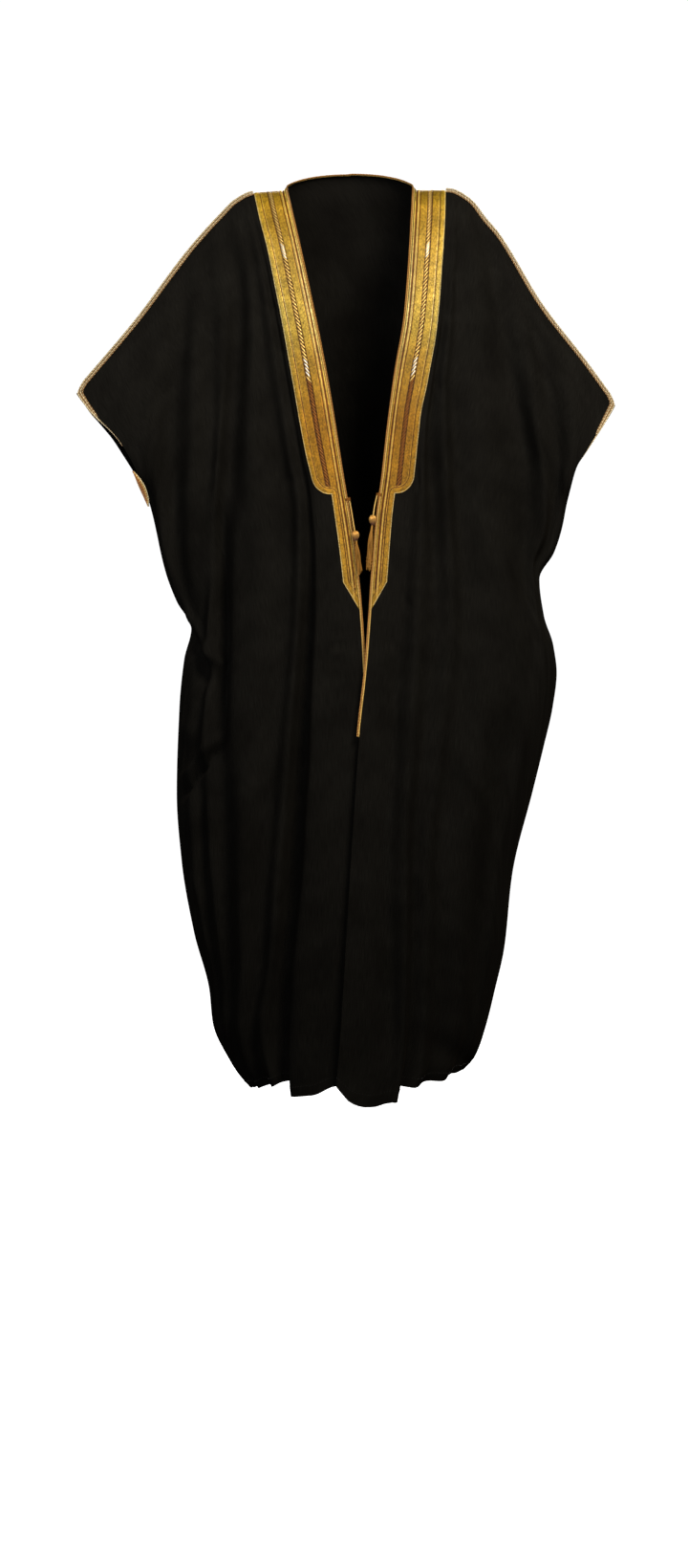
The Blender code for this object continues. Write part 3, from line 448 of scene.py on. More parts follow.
# %% [markdown]
# ## One surface for each piece
#
# A place on a piece is a share f of its length, from the shoulder seam to the
# hem, and a column c along its crease lines.  The surface is worked out in three
# steps: where the flat piece hangs, how its top edge rounds over the shoulder,
# and then how far each crease lifts it, square to the cloth.

# %% Reading the tables
RIDGE_ROUNDING = 0.02    # share of the length over which the shoulder rounds over
SAG = 2.0                # rows leave the centre level and drop towards the side
LEAN_STEP = 0.012        # a crease stands square to the cloth's slope over this step
SEAM_READ = 0.004        # the shoulder seam's slope is read over this distance


def read_places(places, at):
    """A distance in metres, from a table of shares and mm."""
    return MM * smooth(*zip(*places), at)


def read_outline(stations, drop):
    """Distance from the centre line at each drop."""
    return smooth([p.drop for p in stations], [p.out for p in stations], drop)


def read_shoulder(side, out):
    """Drop of the shoulder seam at each distance out."""
    stations = SHOULDER[side]
    return smooth([p.out for p in stations], [p.drop for p in stations], out)


def seam_depth(side, out):
    """Place in Y of the shoulder seam at each distance out."""
    return -ARM_REACH * (out - SHOULDER[side][0].out)


def crease_values(creases, levels, f, c):
    """Share and depth at the rows f (a column of numbers) and column places c."""
    shares = np.hstack([smooth(levels, share, f) for _, share, _ in creases])
    depths = np.hstack([smooth(levels, mm, f) for _, _, mm in creases]) * MM
    left = np.minimum(c.astype(int), len(creases) - 2)
    t = c - left
    wave = (1 - np.cos(np.pi * t)) / 2
    return (blend(shares[:, left], shares[:, left + 1], t),
            blend(depths[:, left], depths[:, left + 1], wave))


def read_sections(sections, f, share):
    """Depth on the figure at the rows f and the shares of the half width."""
    across = np.hstack([smooth(sections[:, 0], column * MM, f)
                        for column in sections[:, 1:].T])
    across[:, -1:] = np.where(f < CUFF_END, across[:, -1:], read_places(SIDE_SEAM, f))
    return smooth(ROUND, across, np.arcsin(np.clip(np.abs(share), 0, 1)), level_start=True)


def hem_dip(piece, f, share):
    """How much lower the cloth lies near the hem than an even hem would."""
    growth = np.clip((f - (1 - HEM_ZONE)) / HEM_ZONE, 0, 1)
    return read_places(HEM[piece], share) * growth ** 2


def round_over(top, hung, f):
    """Depth that leaves the top edge level, as cloth does over a shoulder."""
    return blend(top, hung, np.sqrt(np.clip(f / RIDGE_ROUNDING, 0, 1)))


print("0.2 m out, the right shoulder seam is", read_shoulder("right", 0.2)[0, 0], "m down")

# %% The surface
class Cloth:
    """A surface of the cloak: points and outward directions at rows and columns."""

    def __init__(self, creases, levels, turn):
        self.creases = creases
        self.levels = levels
        self.turn = turn          # +1 or -1: which way the cloth's outside faces
        self.last = len(creases) - 1

    def plain(self, f, c):
        """Points of the cloth with no creases."""
        share, _ = crease_values(self.creases, self.levels, f, c)
        return self.hang(f, share)

    def points(self, f, c):
        """Points of the creased cloth."""
        share, depth = crease_values(self.creases, self.levels, f, c)
        return self.hang(f, share) + self.outward(f, c) * depth[..., None]

    def outward(self, f, c):
        """Directions square to the cloth with no creases, on its outside."""
        down = (self.plain(np.minimum(f + LEAN_STEP, 1), c)
                - self.plain(np.maximum(f - LEAN_STEP, 0), c))
        across = (self.plain(f, np.minimum(c + LEAN_STEP, self.last))
                  - self.plain(f, np.maximum(c - LEAN_STEP, 0)))
        return unit(np.cross(across, down) * self.turn)


class Front(Cloth):
    """One front, from the shoulder seam to the hem; column 0 is its front edge."""

    def __init__(self, side):
        self.side = side
        super().__init__(FRONT_CREASES[side], LEVELS, -OUTWARD[side])

    def hang(self, f, share):
        """Points of the flat cloth, hung, at the rows f and shares of the width."""
        shoulder, edge, outer = [table[self.side] for table in (SHOULDER, FRONT_EDGE, SIDE)]
        edge_drop = blend(edge[0].drop, edge[-1].drop, f)
        outer_drop = blend(outer[0].drop, outer[-1].drop, f)
        out = blend(read_outline(edge, edge_drop), read_outline(outer, outer_drop), share)
        top_out = blend(shoulder[0].out, shoulder[-1].out, share)
        sag = share ** SAG
        chord = blend(shoulder[0].drop, shoulder[-1].drop, sag)
        drop = (blend(edge_drop, outer_drop, sag) + hem_dip(self.side, f, share)
                + (1 - f) ** 2 * (read_shoulder(self.side, top_out) - chord))
        depth = read_sections(FRONT_SECTIONS, f, share)
        if self.side == "left":
            depth = depth - read_places(LAP, f) * np.cos(np.pi / 2 * share) ** 2
        depth = round_over(seam_depth(self.side, top_out), depth, f)
        return np.stack([OUTWARD[self.side] * out, depth, -drop], axis=2)


class Back(Cloth):
    """The whole back; column 0 is the wearer's right side."""

    def __init__(self):
        super().__init__(BACK_CREASES, BACK_LEVELS, 1)

    def hang(self, f, share):
        """Points of the flat cloth, hung, at the rows f and shares of the width."""
        right = self.half("right", f, np.clip(-share, 0, 1))
        left = self.half("left", f, np.clip(share, 0, 1))
        x, drop, top = np.where(share < 0, right, left)
        depth = round_over(top, read_sections(BACK_SECTIONS, f, share), f)
        return np.stack([x, depth, -drop - hem_dip("back", f, share)], axis=2)

    def half(self, side, f, share):
        """Place in X, drop, and depth of the top edge, on one side."""
        shoulder, outer = SHOULDER[side], SIDE[side]
        neck = shoulder[0]
        start = neck.drop - NECK_RISE
        outer_drop = blend(outer[0].drop, outer[-1].drop, f)
        outer_out = read_outline(outer, outer_drop)
        outer_out = outer_out + CUFF_PEEK[side] * np.sin(
            np.pi * np.clip(f / CUFF_END, 0, 1)) ** 2
        top_out = shoulder[-1].out * share
        neck_round = np.sqrt(np.clip(1 - (top_out / neck.out) ** 2, 0, 1))
        on_neck = top_out < neck.out
        top_drop = np.where(on_neck, neck.drop - NECK_RISE * neck_round,
                            read_shoulder(side, top_out))
        top_depth = np.where(on_neck, NECK_DEPTH * neck_round, seam_depth(side, top_out))
        sag = share ** SAG
        drop = (blend(blend(start, BACK_LENGTH, f), outer_drop, sag)
                + (1 - f) ** 2 * (top_drop - blend(start, shoulder[-1].drop, sag)))
        return np.stack([OUTWARD[side] * outer_out * share, drop, top_depth])


SURFACES = {"right": Front("right"), "left": Front("left"), "back": Back()}
print("the left front's hem corner:",
      SURFACES["left"].points(np.array([[1.0]]), np.array([0.0]))[0, 0].round(3))

# %% [markdown]
# ## Fine folds, placed one by one
#
# Worn cloth has two sizes of fold.  The main ones are in the crease tables.  Over
# them lie narrower ones: a sharp line at the bottom of a trough, a crease that
# runs out from a seam, a pucker beside a stitched cord.  Cloth simulation gives
# such folds at random, so here each one is drawn as a line on the front view,
# with its own width and depth, and fades out at both ends.

# %% Drawing a fold
# A fold is a row of three: the line of places (out, drop) that it runs through, its
# width from the middle to where it has almost gone, and its depth, out (+) or in
# (-).  All in mm; on the back, out is towards the wearer's left.
FADE = 0.3               # share of a fold's length over which each end fades
SINK = 1.6               # at its width a fold has sunk to a thirteenth of its depth


def lengths_along(points):
    """Length from the first point of a line to each of its points."""
    steps = np.linalg.norm(np.diff(points, axis=0), axis=1)
    return np.concatenate([[0], np.cumsum(steps)])


def fold_lift(fold, out, drop):
    """How far one fold lifts the cloth at each place, in mm."""
    line, width, depth = fold
    places = np.array(line, float)
    starts = lengths_along(places)
    nearest = np.full(out.shape, np.inf)
    reached = np.zeros(out.shape)
    for start, end, length, before in zip(places, places[1:], np.diff(starts), starts):
        run, fall = end - start
        along = ((out - start[0]) * run + (drop - start[1]) * fall) / length ** 2
        along = np.clip(along, 0, 1)
        away = np.hypot(out - start[0] - along * run, drop - start[1] - along * fall)
        reached = np.where(away < nearest, before + along * length, reached)
        nearest = np.minimum(nearest, away)
    share = reached / starts[-1]
    fade = ease(share / FADE) * ease((1 - share) / FADE)
    return depth * fade * np.exp(-(SINK * nearest / width) ** 2)


print("a fold of 4 mm, on its line:",
      fold_lift(([(0, 0), (0, 100)], 10, 4), np.array([0.0]), np.array([50.0])))

# %% The folds of the right front
FOLDS = {}
FOLDS["right"] = [
    # the two long troughs from the shoulder, and the narrow ridge between them
    ([(182, 85), (176, 125), (175, 170), (181, 250), (190, 345), (192, 450), (200, 590),
      (200, 700)], 21, -7),
    ([(198, 440), (200, 600), (199, 700), (201, 800), (206, 920)], 14, -24),
    ([(172, 470), (176, 700), (180, 860), (186, 980)], 20, 13),
    ([(208, 560), (214, 650), (219, 760), (222, 860), (226, 950)], 12, 15),
    ([(214, 900), (223, 1000), (222, 1120), (212, 1250)], 15, -4),
    ([(235, 110), (252, 180), (268, 245), (278, 343), (286, 430), (292, 500),
      (304, 580)], 22, -6),
    ([(246, 180), (243, 300), (240, 420), (241, 560)], 17, 3),
    # soft folds of the broad ribs
    ([(123, 290), (112, 400), (98, 560), (96, 640)], 16, -2.5),
    ([(150, 520), (140, 700), (143, 900), (150, 1080)], 16, 3),
    ([(118, 700), (124, 900), (135, 1130), (140, 1340)], 17, -2.5),
    ([(32, 560), (36, 800), (46, 1040), (52, 1300)], 15, 3),
    # the trough that starts at the band's corner and ends in a notch of the hem
    ([(64, 455), (59, 515), (67, 687), (82, 911), (96, 1090), (108, 1300),
      (102, 1460)], 13, -5),
    ([(70, 720), (78, 880), (92, 1086), (107, 1228), (110, 1371), (104, 1480)], 16, -13),
    ([(16, 830), (14, 1000), (22, 1200), (28, 1440)], 12, -3),
    # under the sleeve's edge: a recess, then a flap with a sharp lower edge
    ([(270, 640), (238, 697), (214, 738), (190, 780)], 9.5, 7),
    ([(262, 680), (240, 728), (224, 762), (212, 800)], 14, -16),
    ([(232, 720), (228, 780), (234, 850)], 22, -5),
    ([(286, 836), (246, 858), (204, 880)], 17, 4.5),
    ([(180, 850), (222, 904), (280, 972)], 8, -8),
    ([(188, 840), (232, 890), (285, 950)], 9.5, 5),
    ([(236, 930), (238, 1040), (250, 1140)], 12, 4),
    # the sleeve's drape
    ([(250, 120), (300, 250), (352, 350), (395, 385)], 24, 5),
    ([(262, 150), (318, 300), (352, 395)], 12, -3),
    ([(338, 400), (330, 430), (322, 470)], 9, -4),
    ([(300, 430), (298, 520), (286, 620)], 14, 5),
    ([(262, 480), (264, 580), (272, 670)], 12, -4),
    # short pulls at the band, and puckers beside the edge cord
    ([(134, 84), (150, 74), (168, 66)], 7, -2.5),
    ([(126, 139), (140, 132), (160, 126)], 7, -2.5),
    ([(112, 203), (126, 197), (146, 192)], 7, -2.5),
    ([(98, 270), (112, 266), (128, 264)], 7, -2),
    ([(70, 452), (84, 462), (104, 474)], 8, -2.5),
    ([(4, 698), (18, 701), (34, 703)], 6, -2.5),
    ([(6, 722), (22, 724), (40, 723)], 6, -2.5),
    ([(8, 746), (24, 747), (42, 751)], 6, -2.5),
    ([(10, 772), (24, 774), (38, 778)], 6, -2),
]
print("folds of the right front:", len(FOLDS["right"]))

# %% The folds of the left front
FOLDS["left"] = [
    # the two long troughs from the shoulder to under the arm
    ([(204, 60), (224, 140), (243, 240), (254, 330), (270, 430), (282, 540),
      (294, 640)], 21, -7),
    ([(222, 76), (220, 110), (218, 150)], 8, -3),
    ([(279, 180), (292, 250), (307, 325), (322, 400), (332, 455), (322, 545)], 19, -6),
    ([(280, 250), (281, 360), (292, 430), (304, 480)], 15, 3.5),
    ([(232, 90), (268, 180), (312, 262), (372, 330)], 22, 4),
    ([(300, 560), (298, 640), (306, 740)], 12, -4),
    # soft folds over the chest and the hip
    ([(140, 225), (156, 360), (168, 500), (172, 680), (171, 880)], 18, -3.5),
    ([(114, 345), (125, 440), (128, 560), (128, 735)], 15, -4),
    ([(141, 370), (147, 480), (152, 620), (152, 735)], 13, 3),
    ([(196, 500), (196, 560), (198, 640)], 11, 3.5),
    ([(96, 600), (95, 780), (96, 1010)], 13, 3.5),
    ([(205, 640), (214, 760), (222, 900), (214, 1040)], 18, -5),
    ([(250, 640), (262, 760), (262, 860), (248, 980)], 16, 4),
    ([(38, 740), (38, 880), (36, 1040)], 11, 3.5),
    ([(80, 1036), (110, 1095), (140, 1170)], 13, 3.5),
    ([(170, 980), (176, 1100), (188, 1240)], 14, -4),
    # the long trough below the band, which widens to a notch of the hem
    ([(62, 650), (66, 800), (64, 930), (56, 1010), (53, 1120), (52, 1240)], 13, -6),
    ([(56, 1080), (60, 1240), (72, 1460)], 20, -6),
    ([(106, 1320), (150, 1352), (206, 1374)], 24, -6),
    ([(10, 1120), (12, 1280), (16, 1470)], 15, -3),
    # pulls at the band
    ([(150, 84), (166, 76), (184, 72)], 7, -2.5),
    ([(144, 150), (160, 144), (182, 140)], 7, -2.5),
    ([(138, 214), (154, 208), (172, 205)], 7, -2.5),
    ([(124, 330), (140, 322), (154, 318)], 7, -2.5),
    ([(96, 432), (98, 462), (102, 490)], 8, -3.5),
    ([(62, 640), (78, 658), (98, 666)], 8, -3.5),
    ([(40, 676), (52, 700), (58, 730)], 8, -2.5),
]
print("folds of the left front:", len(FOLDS["left"]))

# %% The folds of the back
FOLDS["back"] = [
    # from the shoulder blades down
    ([(-150, 90), (-158, 240), (-150, 480), (-162, 760)], 15, -5),
    ([(-112, 180), (-118, 400), (-108, 640), (-112, 980)], 14, 4),
    ([(-64, 90), (-58, 300), (-66, 560), (-60, 900)], 13, -4),
    ([(-26, 240), (-30, 500), (-22, 820), (-28, 1160)], 14, 4),
    ([(18, 120), (24, 380), (16, 700), (22, 1060)], 13, -4),
    ([(66, 160), (60, 420), (72, 760), (64, 1180)], 15, 4),
    ([(104, 100), (112, 340), (104, 620), (110, 880)], 13, -5),
    ([(152, 110), (146, 360), (158, 640), (150, 960)], 14, 4),
    # under the arms
    ([(-212, 80), (-232, 260), (-238, 460), (-228, 690)], 16, -6),
    ([(-262, 170), (-296, 330), (-290, 500), (-268, 640)], 15, 5),
    ([(-330, 260), (-340, 360), (-320, 470)], 12, -4),
    ([(208, 70), (236, 250), (246, 450), (240, 700)], 16, -6),
    ([(262, 180), (292, 320), (300, 470), (276, 620)], 15, 5),
    ([(318, 260), (334, 360), (322, 480)], 12, -4),
    # below, where the cloth falls free
    ([(-200, 820), (-206, 1020), (-190, 1280)], 16, -5),
    ([(-146, 900), (-140, 1120), (-150, 1440)], 15, 4),
    ([(-88, 960), (-94, 1200), (-84, 1460)], 15, -5),
    ([(-34, 1140), (-40, 1290), (-36, 1470)], 13, -4),
    ([(30, 1080), (36, 1260), (30, 1470)], 14, 4),
    ([(92, 900), (86, 1140), (98, 1460)], 15, -5),
    ([(140, 1000), (148, 1200), (138, 1440)], 14, 4),
    ([(206, 800), (212, 1000), (186, 1300)], 16, -5),
    # short folds that cross the small of the back
    ([(-120, 640), (-70, 668), (-10, 660)], 16, 3),
    ([(0, 730), (60, 752), (120, 735)], 16, 3),
    ([(-60, 300), (-10, 318), (50, 305)], 18, 2.5),
]
print("folds of the back:", len(FOLDS["back"]))

# %% [markdown]
# ## From surface to shell
#
# A shell is a grid of outer points, the same grid moved in by the cloth's
# thickness, and a rim that joins them.  Working on a grid keeps the cloth's own
# directions: each column is a thread of the warp and each row one of the weft, so
# lengths measured along them are the UV map, and the weave will follow the folds.

# %% Rows and columns
CLOTH = 1.0 * MM         # fine wool, a little over its real thickness
SEAM_LAP = 0.3 * MM      # one piece laps the other at a seam, so no light comes through
HEM_FOLD = 0.55 * MM     # the turned-up hem stands this far out
HEM_START = 0.9885       # and starts at this share of the length,
HEM_STEP = 0.0015        # rising over this one
LONG_ROWS = 200
COLUMN_CELLS = 8         # cells between two crease lines

near_shoulder = [0, .0006, .0015, .003, .005, .0075, .0105, .014, .018]
near_hem = [HEM_START - HEM_STEP, HEM_START, HEM_START + HEM_STEP, .992, .995, .998, 1]
rows = np.concatenate([near_shoulder, np.linspace(.022, .984, LONG_ROWS), near_hem])
f = rows[:, None]
print("rows:", len(rows))


def columns(surface):
    """Column places, evenly spread between the crease lines."""
    return np.linspace(0, surface.last, surface.last * COLUMN_CELLS + 1)


# %% How free cloth softens
BAND_END = 0.476         # share of the length where the gold band ends
RUMPLES = 6
RUMPLE_DEPTH = 0.35 * MM
NARROW = 10              # mm; folds narrower than this stay crisp
# Where two troughs would pinch each other, the cloth rounds over both of them.
EASED = {"right": [
    ([(212, 440), (205, 600), (214, 740), (222, 860), (228, 1000)], 62, 0.95)]}
# The hem is drawn up a few mm beside its notches: (place, rise) in mm.
HEM_LIFT = {
    "right": [(-170, 0), (-140, 4), (-115, 3), (-98, 0)],
    "left": [(40, 0), (62, 4), (78, 0)],
    "back": [(-160, 0), (-135, 6), (-115, 14), (-65, 14), (-35, 0), (70, 0), (100, 8),
             (125, 8), (150, 0)],
}
LIFT_FROM = 0.93         # share of the length where that starts,
LIFT_OVER = 0.06         # and over which it grows
EASE_OUT = 90            # rounds of averaging where two troughs meet
LEVEL_OUT = 30           # rounds of averaging for the way the folds lift
EVEN_OUT = 8             # and for the cloth itself,
EVEN_SHARE = 0.6         # each by this share of the way,
EVEN_ABOVE = 0.02        # but not over this share of the length above the hem
# How soon the cloth comes free: below the shoulder, as a share of the length, and
# past the side, the front edge and the band's edge, in columns.
FREE_TOP = 0.03
FREE_SIDE = 0.8
FREE_EDGE = 0.12
FREE_BAND = 0.5
BAND_COLUMN = 1.02       # the column of the band's edge
print("fine folds in all:", sum(map(len, FOLDS.values())))

# %% The outer points of a piece
def rumple(x, z, seed):
    """Faint uneven waves, a few centimetres long."""
    dice = np.random.default_rng(seed)
    lift = np.zeros_like(x)
    for _ in range(RUMPLES):
        length = dice.uniform(45, 130) * MM
        lean = dice.uniform(-0.5, 0.5)
        start = dice.uniform(0, FULL_TURN)
        lift += np.sin(FULL_TURN * (x * np.cos(lean) + z * np.sin(lean)) / length + start)
    return lift * RUMPLE_DEPTH


def facing(grid, turn):
    """Directions square to a grid of points, on the cloth's outside."""
    return unit(np.cross(np.gradient(grid, axis=1), np.gradient(grid, axis=0)) * turn)


def free_share(piece, surface, c):
    """0 where a seam, a band or a neighbour holds the cloth, and 1 where it is free."""
    if piece == "back":
        start = ease(c / FREE_SIDE)
    else:
        start = np.where(f < BAND_END, ease((c - BAND_COLUMN) / FREE_BAND),
                         ease(c / FREE_EDGE))
    return ease(f / FREE_TOP) * start * ease((surface.last - c) / FREE_SIDE)


def settle(values, share, times):
    """Average each point with its neighbours, as soft cloth evens out its kinks."""
    made = values.copy()
    for _ in range(times):
        mean = (made[:-2, 1:-1] + made[2:, 1:-1] + made[1:-1, :-2] + made[1:-1, 2:]) / 4
        made[1:-1, 1:-1] += (mean - made[1:-1, 1:-1]) * share[1:-1, 1:-1, None]
    return made


def cloth_points(piece):
    """Outer points and directions of a piece, with its fine folds and its hem."""
    surface = SURFACES[piece]
    c = columns(surface)
    grid = surface.points(f, c)
    free = free_share(piece, surface, c)
    outward = OUTWARD.get(piece, 1)
    for fold in EASED.get(piece, []):
        soft = fold_lift(fold, outward * grid[..., 0] / MM, -grid[..., 2] / MM)
        grid = settle(grid, soft * free, EASE_OUT)
    out = facing(grid, surface.turn)
    x, z = grid[..., 0], grid[..., 2]
    broad, narrow = [MM * sum(fold_lift(fold, outward * x / MM, -z / MM)
                              for fold in FOLDS[piece] if (fold[1] < NARROW) == small)
                     for small in (False, True)]
    broad = (broad + rumple(x, z, len(FOLDS[piece]))) * free
    grid = grid + unit(settle(out, free, LEVEL_OUT)) * broad[..., None]
    grid = settle(grid, EVEN_SHARE * free * ease((HEM_START - f) / EVEN_ABOVE), EVEN_OUT)
    side, rise = np.array(HEM_LIFT[piece]).T
    grid[..., 2] += (MM * np.interp(grid[..., 0] / MM, side, rise)
                     * ease((f - LIFT_FROM) / LIFT_OVER))
    grid = grid + facing(grid, surface.turn) * (narrow * free)[..., None]
    out = facing(grid, surface.turn)
    grid = grid + out * (HEM_FOLD * ease((f - HEM_START) / HEM_STEP))[..., None]
    return c, grid, out


print("columns of the back:", len(columns(SURFACES["back"])))

# %% Joining pieces at the shoulder and the side
def seam_in(piece, c, grid, out):
    """Turn the directions along a seam so that two pieces meet there without crossing."""
    back = piece == "back"
    at_side = [0, -1] if back else [-1]
    seam = np.zeros(out.shape[:2], bool)
    seam[np.searchsorted(rows, CUFF_END):, at_side] = True
    level = unit(out * np.array([1, 0, 1]))
    out[seam] = level[seam]
    on_shoulder = (c <= BACK_NECK[0]) | (c >= BACK_NECK[1]) if back else c >= 0
    out[0, on_shoulder] = shoulder_out(grid[0, on_shoulder])
    seam[0, on_shoulder] = True
    grid[seam, 1] += (-1 if back else 1) * SEAM_LAP / 2


def shoulder_out(points):
    """Directions square to the shoulder seam and level in Y."""
    made = np.zeros_like(points)
    for side, sign in OUTWARD.items():
        out = points[:, 0] * sign
        stations = SHOULDER[side]
        low = np.clip(out - SEAM_READ, stations[0].out, stations[-1].out)
        high = np.clip(out + SEAM_READ, stations[0].out, stations[-1].out)
        on_side = out > 0
        fall = (read_shoulder(side, high) - read_shoulder(side, low))[0, on_side]
        run = (high - low)[on_side]
        made[on_side] = np.column_stack([sign * fall, 0 * run, run])
    return unit(made)


GRIDS = {}
for piece in SURFACES:
    c, grid, out = cloth_points(piece)
    seam_in(piece, c, grid, out)
    GRIDS[piece] = (c, grid, out)
    print(piece, "grid:", grid.shape[:2])

# %% A closed shell from a grid
def thread_lengths(grid):
    """Metres across and down the cloth at each grid point."""
    across = np.linalg.norm(np.diff(grid, axis=1), axis=2)
    down = np.linalg.norm(np.diff(grid, axis=0), axis=2)
    u = np.pad(np.cumsum(across, axis=1), ((0, 0), (1, 0)))
    v = np.pad(np.cumsum(down, axis=0), ((1, 0), (0, 0)))
    return np.stack([u, v], axis=2)


def grid_area(grid):
    """Area of a grid of points, in square metres."""
    first = np.cross(grid[1:, :-1] - grid[:-1, :-1], grid[:-1, 1:] - grid[:-1, :-1])
    second = np.cross(grid[1:, :-1] - grid[1:, 1:], grid[:-1, 1:] - grid[1:, 1:])
    return float((np.linalg.norm(first, axis=2) + np.linalg.norm(second, axis=2)).sum() / 2)


def add_shell(name, outer, inner, turn, uv_maps, finish):
    """A mesh object: two grids joined at the rim, with a UV map for each grid of uvs."""
    count_rows, count_columns = outer.shape[:2]
    index = np.arange(count_rows * count_columns).reshape(count_rows, count_columns)
    cells = np.stack([index[:-1, :-1], index[1:, :-1], index[1:, 1:], index[:-1, 1:]],
                     axis=2).reshape(-1, 4)
    rim = np.concatenate([index[:, 0], index[-1, 1:], index[-2::-1, -1], index[0, -2:0:-1]])
    ahead = np.roll(rim, -1)
    far = index.size
    strip = np.stack([rim, rim + far, ahead + far, ahead], axis=1)
    faces = np.vstack([cells, cells[:, ::-1] + far, strip])
    if turn > 0:
        faces = faces[:, ::-1]
    points = np.vstack([outer.reshape(-1, 3), inner.reshape(-1, 3)])
    mesh = bpy.data.meshes.new(name)
    mesh.from_pydata(points.tolist(), [], faces.tolist())
    for label, uvs in uv_maps.items():
        layer = mesh.uv_layers.new(name=label)
        both = np.vstack([uvs.reshape(-1, 2)] * 2)
        layer.data.foreach_set("uv", both[faces.ravel()].astype(np.float32).ravel())
    mesh.shade_smooth()
    mesh.set_sharp_from_angle(angle=np.radians(60))
    mesh.materials.append(finish)
    return add_object(name, mesh)


print("area of a unit square:", grid_area(np.array([[[0, 0, 0], [1, 0, 0]],
                                                    [[0, 1, 0], [1, 1, 0]]])))

# %% [markdown]
# ## The black cloth
#
# A fine bisht is woven from thin wool or hair yarn, so it drinks light: no gloss,
# only a breath of sheen where it curves away, over a rough warm black.  The weave
# is two waves at right angles, read from the UV map so that they follow warp and
# weft.

# %% Fine black wool
def cloth_finish():
    """Plain-woven black wool: matt, faintly brown, with a soft nap."""
    made, tree, shader = new_finish("plain_woven_black_wool", {
        "Roughness": 0.62, "Specular IOR Level": 0.0, "Sheen Weight": 0.02,
        "Sheen Roughness": 0.45, "Sheen Tint": linear("#8A7B68")})
    thread = add_node(tree, "ShaderNodeUVMap", uv_map="thread")
    # Yarn colour wanders a little, over centimetres and over single yarns.
    cloud = add_node(tree, "ShaderNodeTexNoise", {
        "Vector": thread, "Scale": 14.0, "Detail": 4.0})
    stretch = add_node(tree, "ShaderNodeMapping", {
        "Vector": thread, "Scale": (900.0, 40.0, 1.0)})
    slub = add_node(tree, "ShaderNodeTexNoise", {
        "Vector": stretch, "Scale": 1.0, "Detail": 2.0})
    both = add_node(tree, "ShaderNodeMath", {0: cloud, 1: slub}, operation="MULTIPLY")
    tint = add_node(tree, "ShaderNodeValToRGB", {"Fac": both})
    fill_ramp(tint, [(0.12, "#11100E"), (0.42, "#1B1A17")])
    # Painted shade: the colour darkens towards the hem, to two thirds low on the skirt,
    # standing in for the light that falls off down the cloak.
    place = add_node(tree, "ShaderNodeTexCoord")
    height = add_node(tree, "ShaderNodeSeparateXYZ", {"Vector": place.outputs["Object"]})
    fade = add_node(tree, "ShaderNodeMapRange", {
        "Value": height.outputs["Z"], "From Min": -1.25, "From Max": -0.7, "To Min": 0.66,
        "To Max": 1.0})
    hem_shaded_tint = add_node(tree, "ShaderNodeMix", {
        "Factor": 1.0, 6: tint, 7: fade}, data_type="RGBA", blend_type="MULTIPLY")
    # Real threads lie 0.4 mm apart; these are 1.1 mm apart, so that they show close to.
    warp, weft = [add_node(tree, "ShaderNodeTexWave",
                           {"Vector": thread, "Scale": FULL_TURN / 20 / (1.1 * MM),
                            "Distortion": 0.6, "Detail": 1.0}, bands_direction=direction)
                  for direction in ("X", "Y")]
    weave = add_node(tree, "ShaderNodeMath", {
        0: warp.outputs["Fac"], 1: weft.outputs["Fac"]}, operation="MULTIPLY")
    woven = add_node(tree, "ShaderNodeBump", {
        "Height": weave, "Strength": 0.35, "Distance": 0.12 * MM})
    soft = add_node(tree, "ShaderNodeTexNoise", {
        "Vector": thread, "Scale": 38.0, "Detail": 3.0, "Roughness": 0.45})
    pressed = add_node(tree, "ShaderNodeBump", {
        "Height": soft, "Normal": woven, "Strength": 0.3, "Distance": 1.2 * MM})
    feed(shader, {"Base Color": hem_shaded_tint, "Normal": pressed})
    return made


black_wool = cloth_finish()
print("cloth finish:", black_wool.name)

# %% [markdown]
# ## Hanging the three panels
#
# Each panel's flat size, the size it was cut to, is worked out and printed.  Cloth
# bends but hardly stretches, so the flat size is simply what the threads measure
# along the folds.

# %% The panels
PANEL_NODES = {"right": "front_panel_right", "left": "front_panel_left",
               "back": "back_panel"}
panels, flat_sizes = {}, {}
for piece, node_name in PANEL_NODES.items():
    c, grid, out = GRIDS[piece]
    threads = thread_lengths(grid)
    panels[piece] = add_shell(f"{node_name}_cloth", grid, grid - out * CLOTH,
                              SURFACES[piece].turn, {"thread": threads}, black_wool)
    flat_sizes[piece] = tuple(map(float, threads.max(axis=(0, 1))))
    print(piece, "cut:", [round(size, 3) for size in flat_sizes[piece]], "m,",
          "area:", round(grid_area(grid), 3), "m2")

# %% [markdown]
# ## The zari band
#
# The bands are worked by hand in gold-wrapped thread: a padded gold stripe with a
# pale stitched edge runs round the outline, and inside it lie a dark line, two
# woven fields with a braid between them, and a couched cord beside the front
# edge.  The stripes are real relief.  Each place on the band knows two lengths:
# `across`, from the front edge, and `inward`, from the outline, so the border
# follows the rounded corner by itself.

# %% The band's layout, in mm on the flat
BAND_WIDTH = 52.0
NARROW_WIDTH = 21.8
WIDE_LENGTH = 484.0      # from the shoulder to the step
TIP_START = 620.0
BAND_LENGTH = 662.0
CORNER = BAND_WIDTH - NARROW_WIDTH      # the corner's radius
FRONT_LENGTH = 1391.0    # the front edge, from the shoulder to the hem
BAND_WALL = 1.0          # the backing under the thread
REST_GAP = 0.4           # between the backing and the cloth

# Places across the band: where each stripe starts.
STITCHED_EDGE = 1.2      # inward from the outline
GOLD_STRIPE = 8.4
DARK_LINE = 9.8
BORDER_LINE = 10.9
EDGE_COUCHING = 2.3      # across from the front edge
DARK_GROOVE = 5.0
COUCHED_CORD = 8.7
INNER_LINE = 10.4
BRAID_START = 21.6
BRAID_END = 30.8
BRAID_FOOT = 469.0       # the braid ends inside the rounded corner


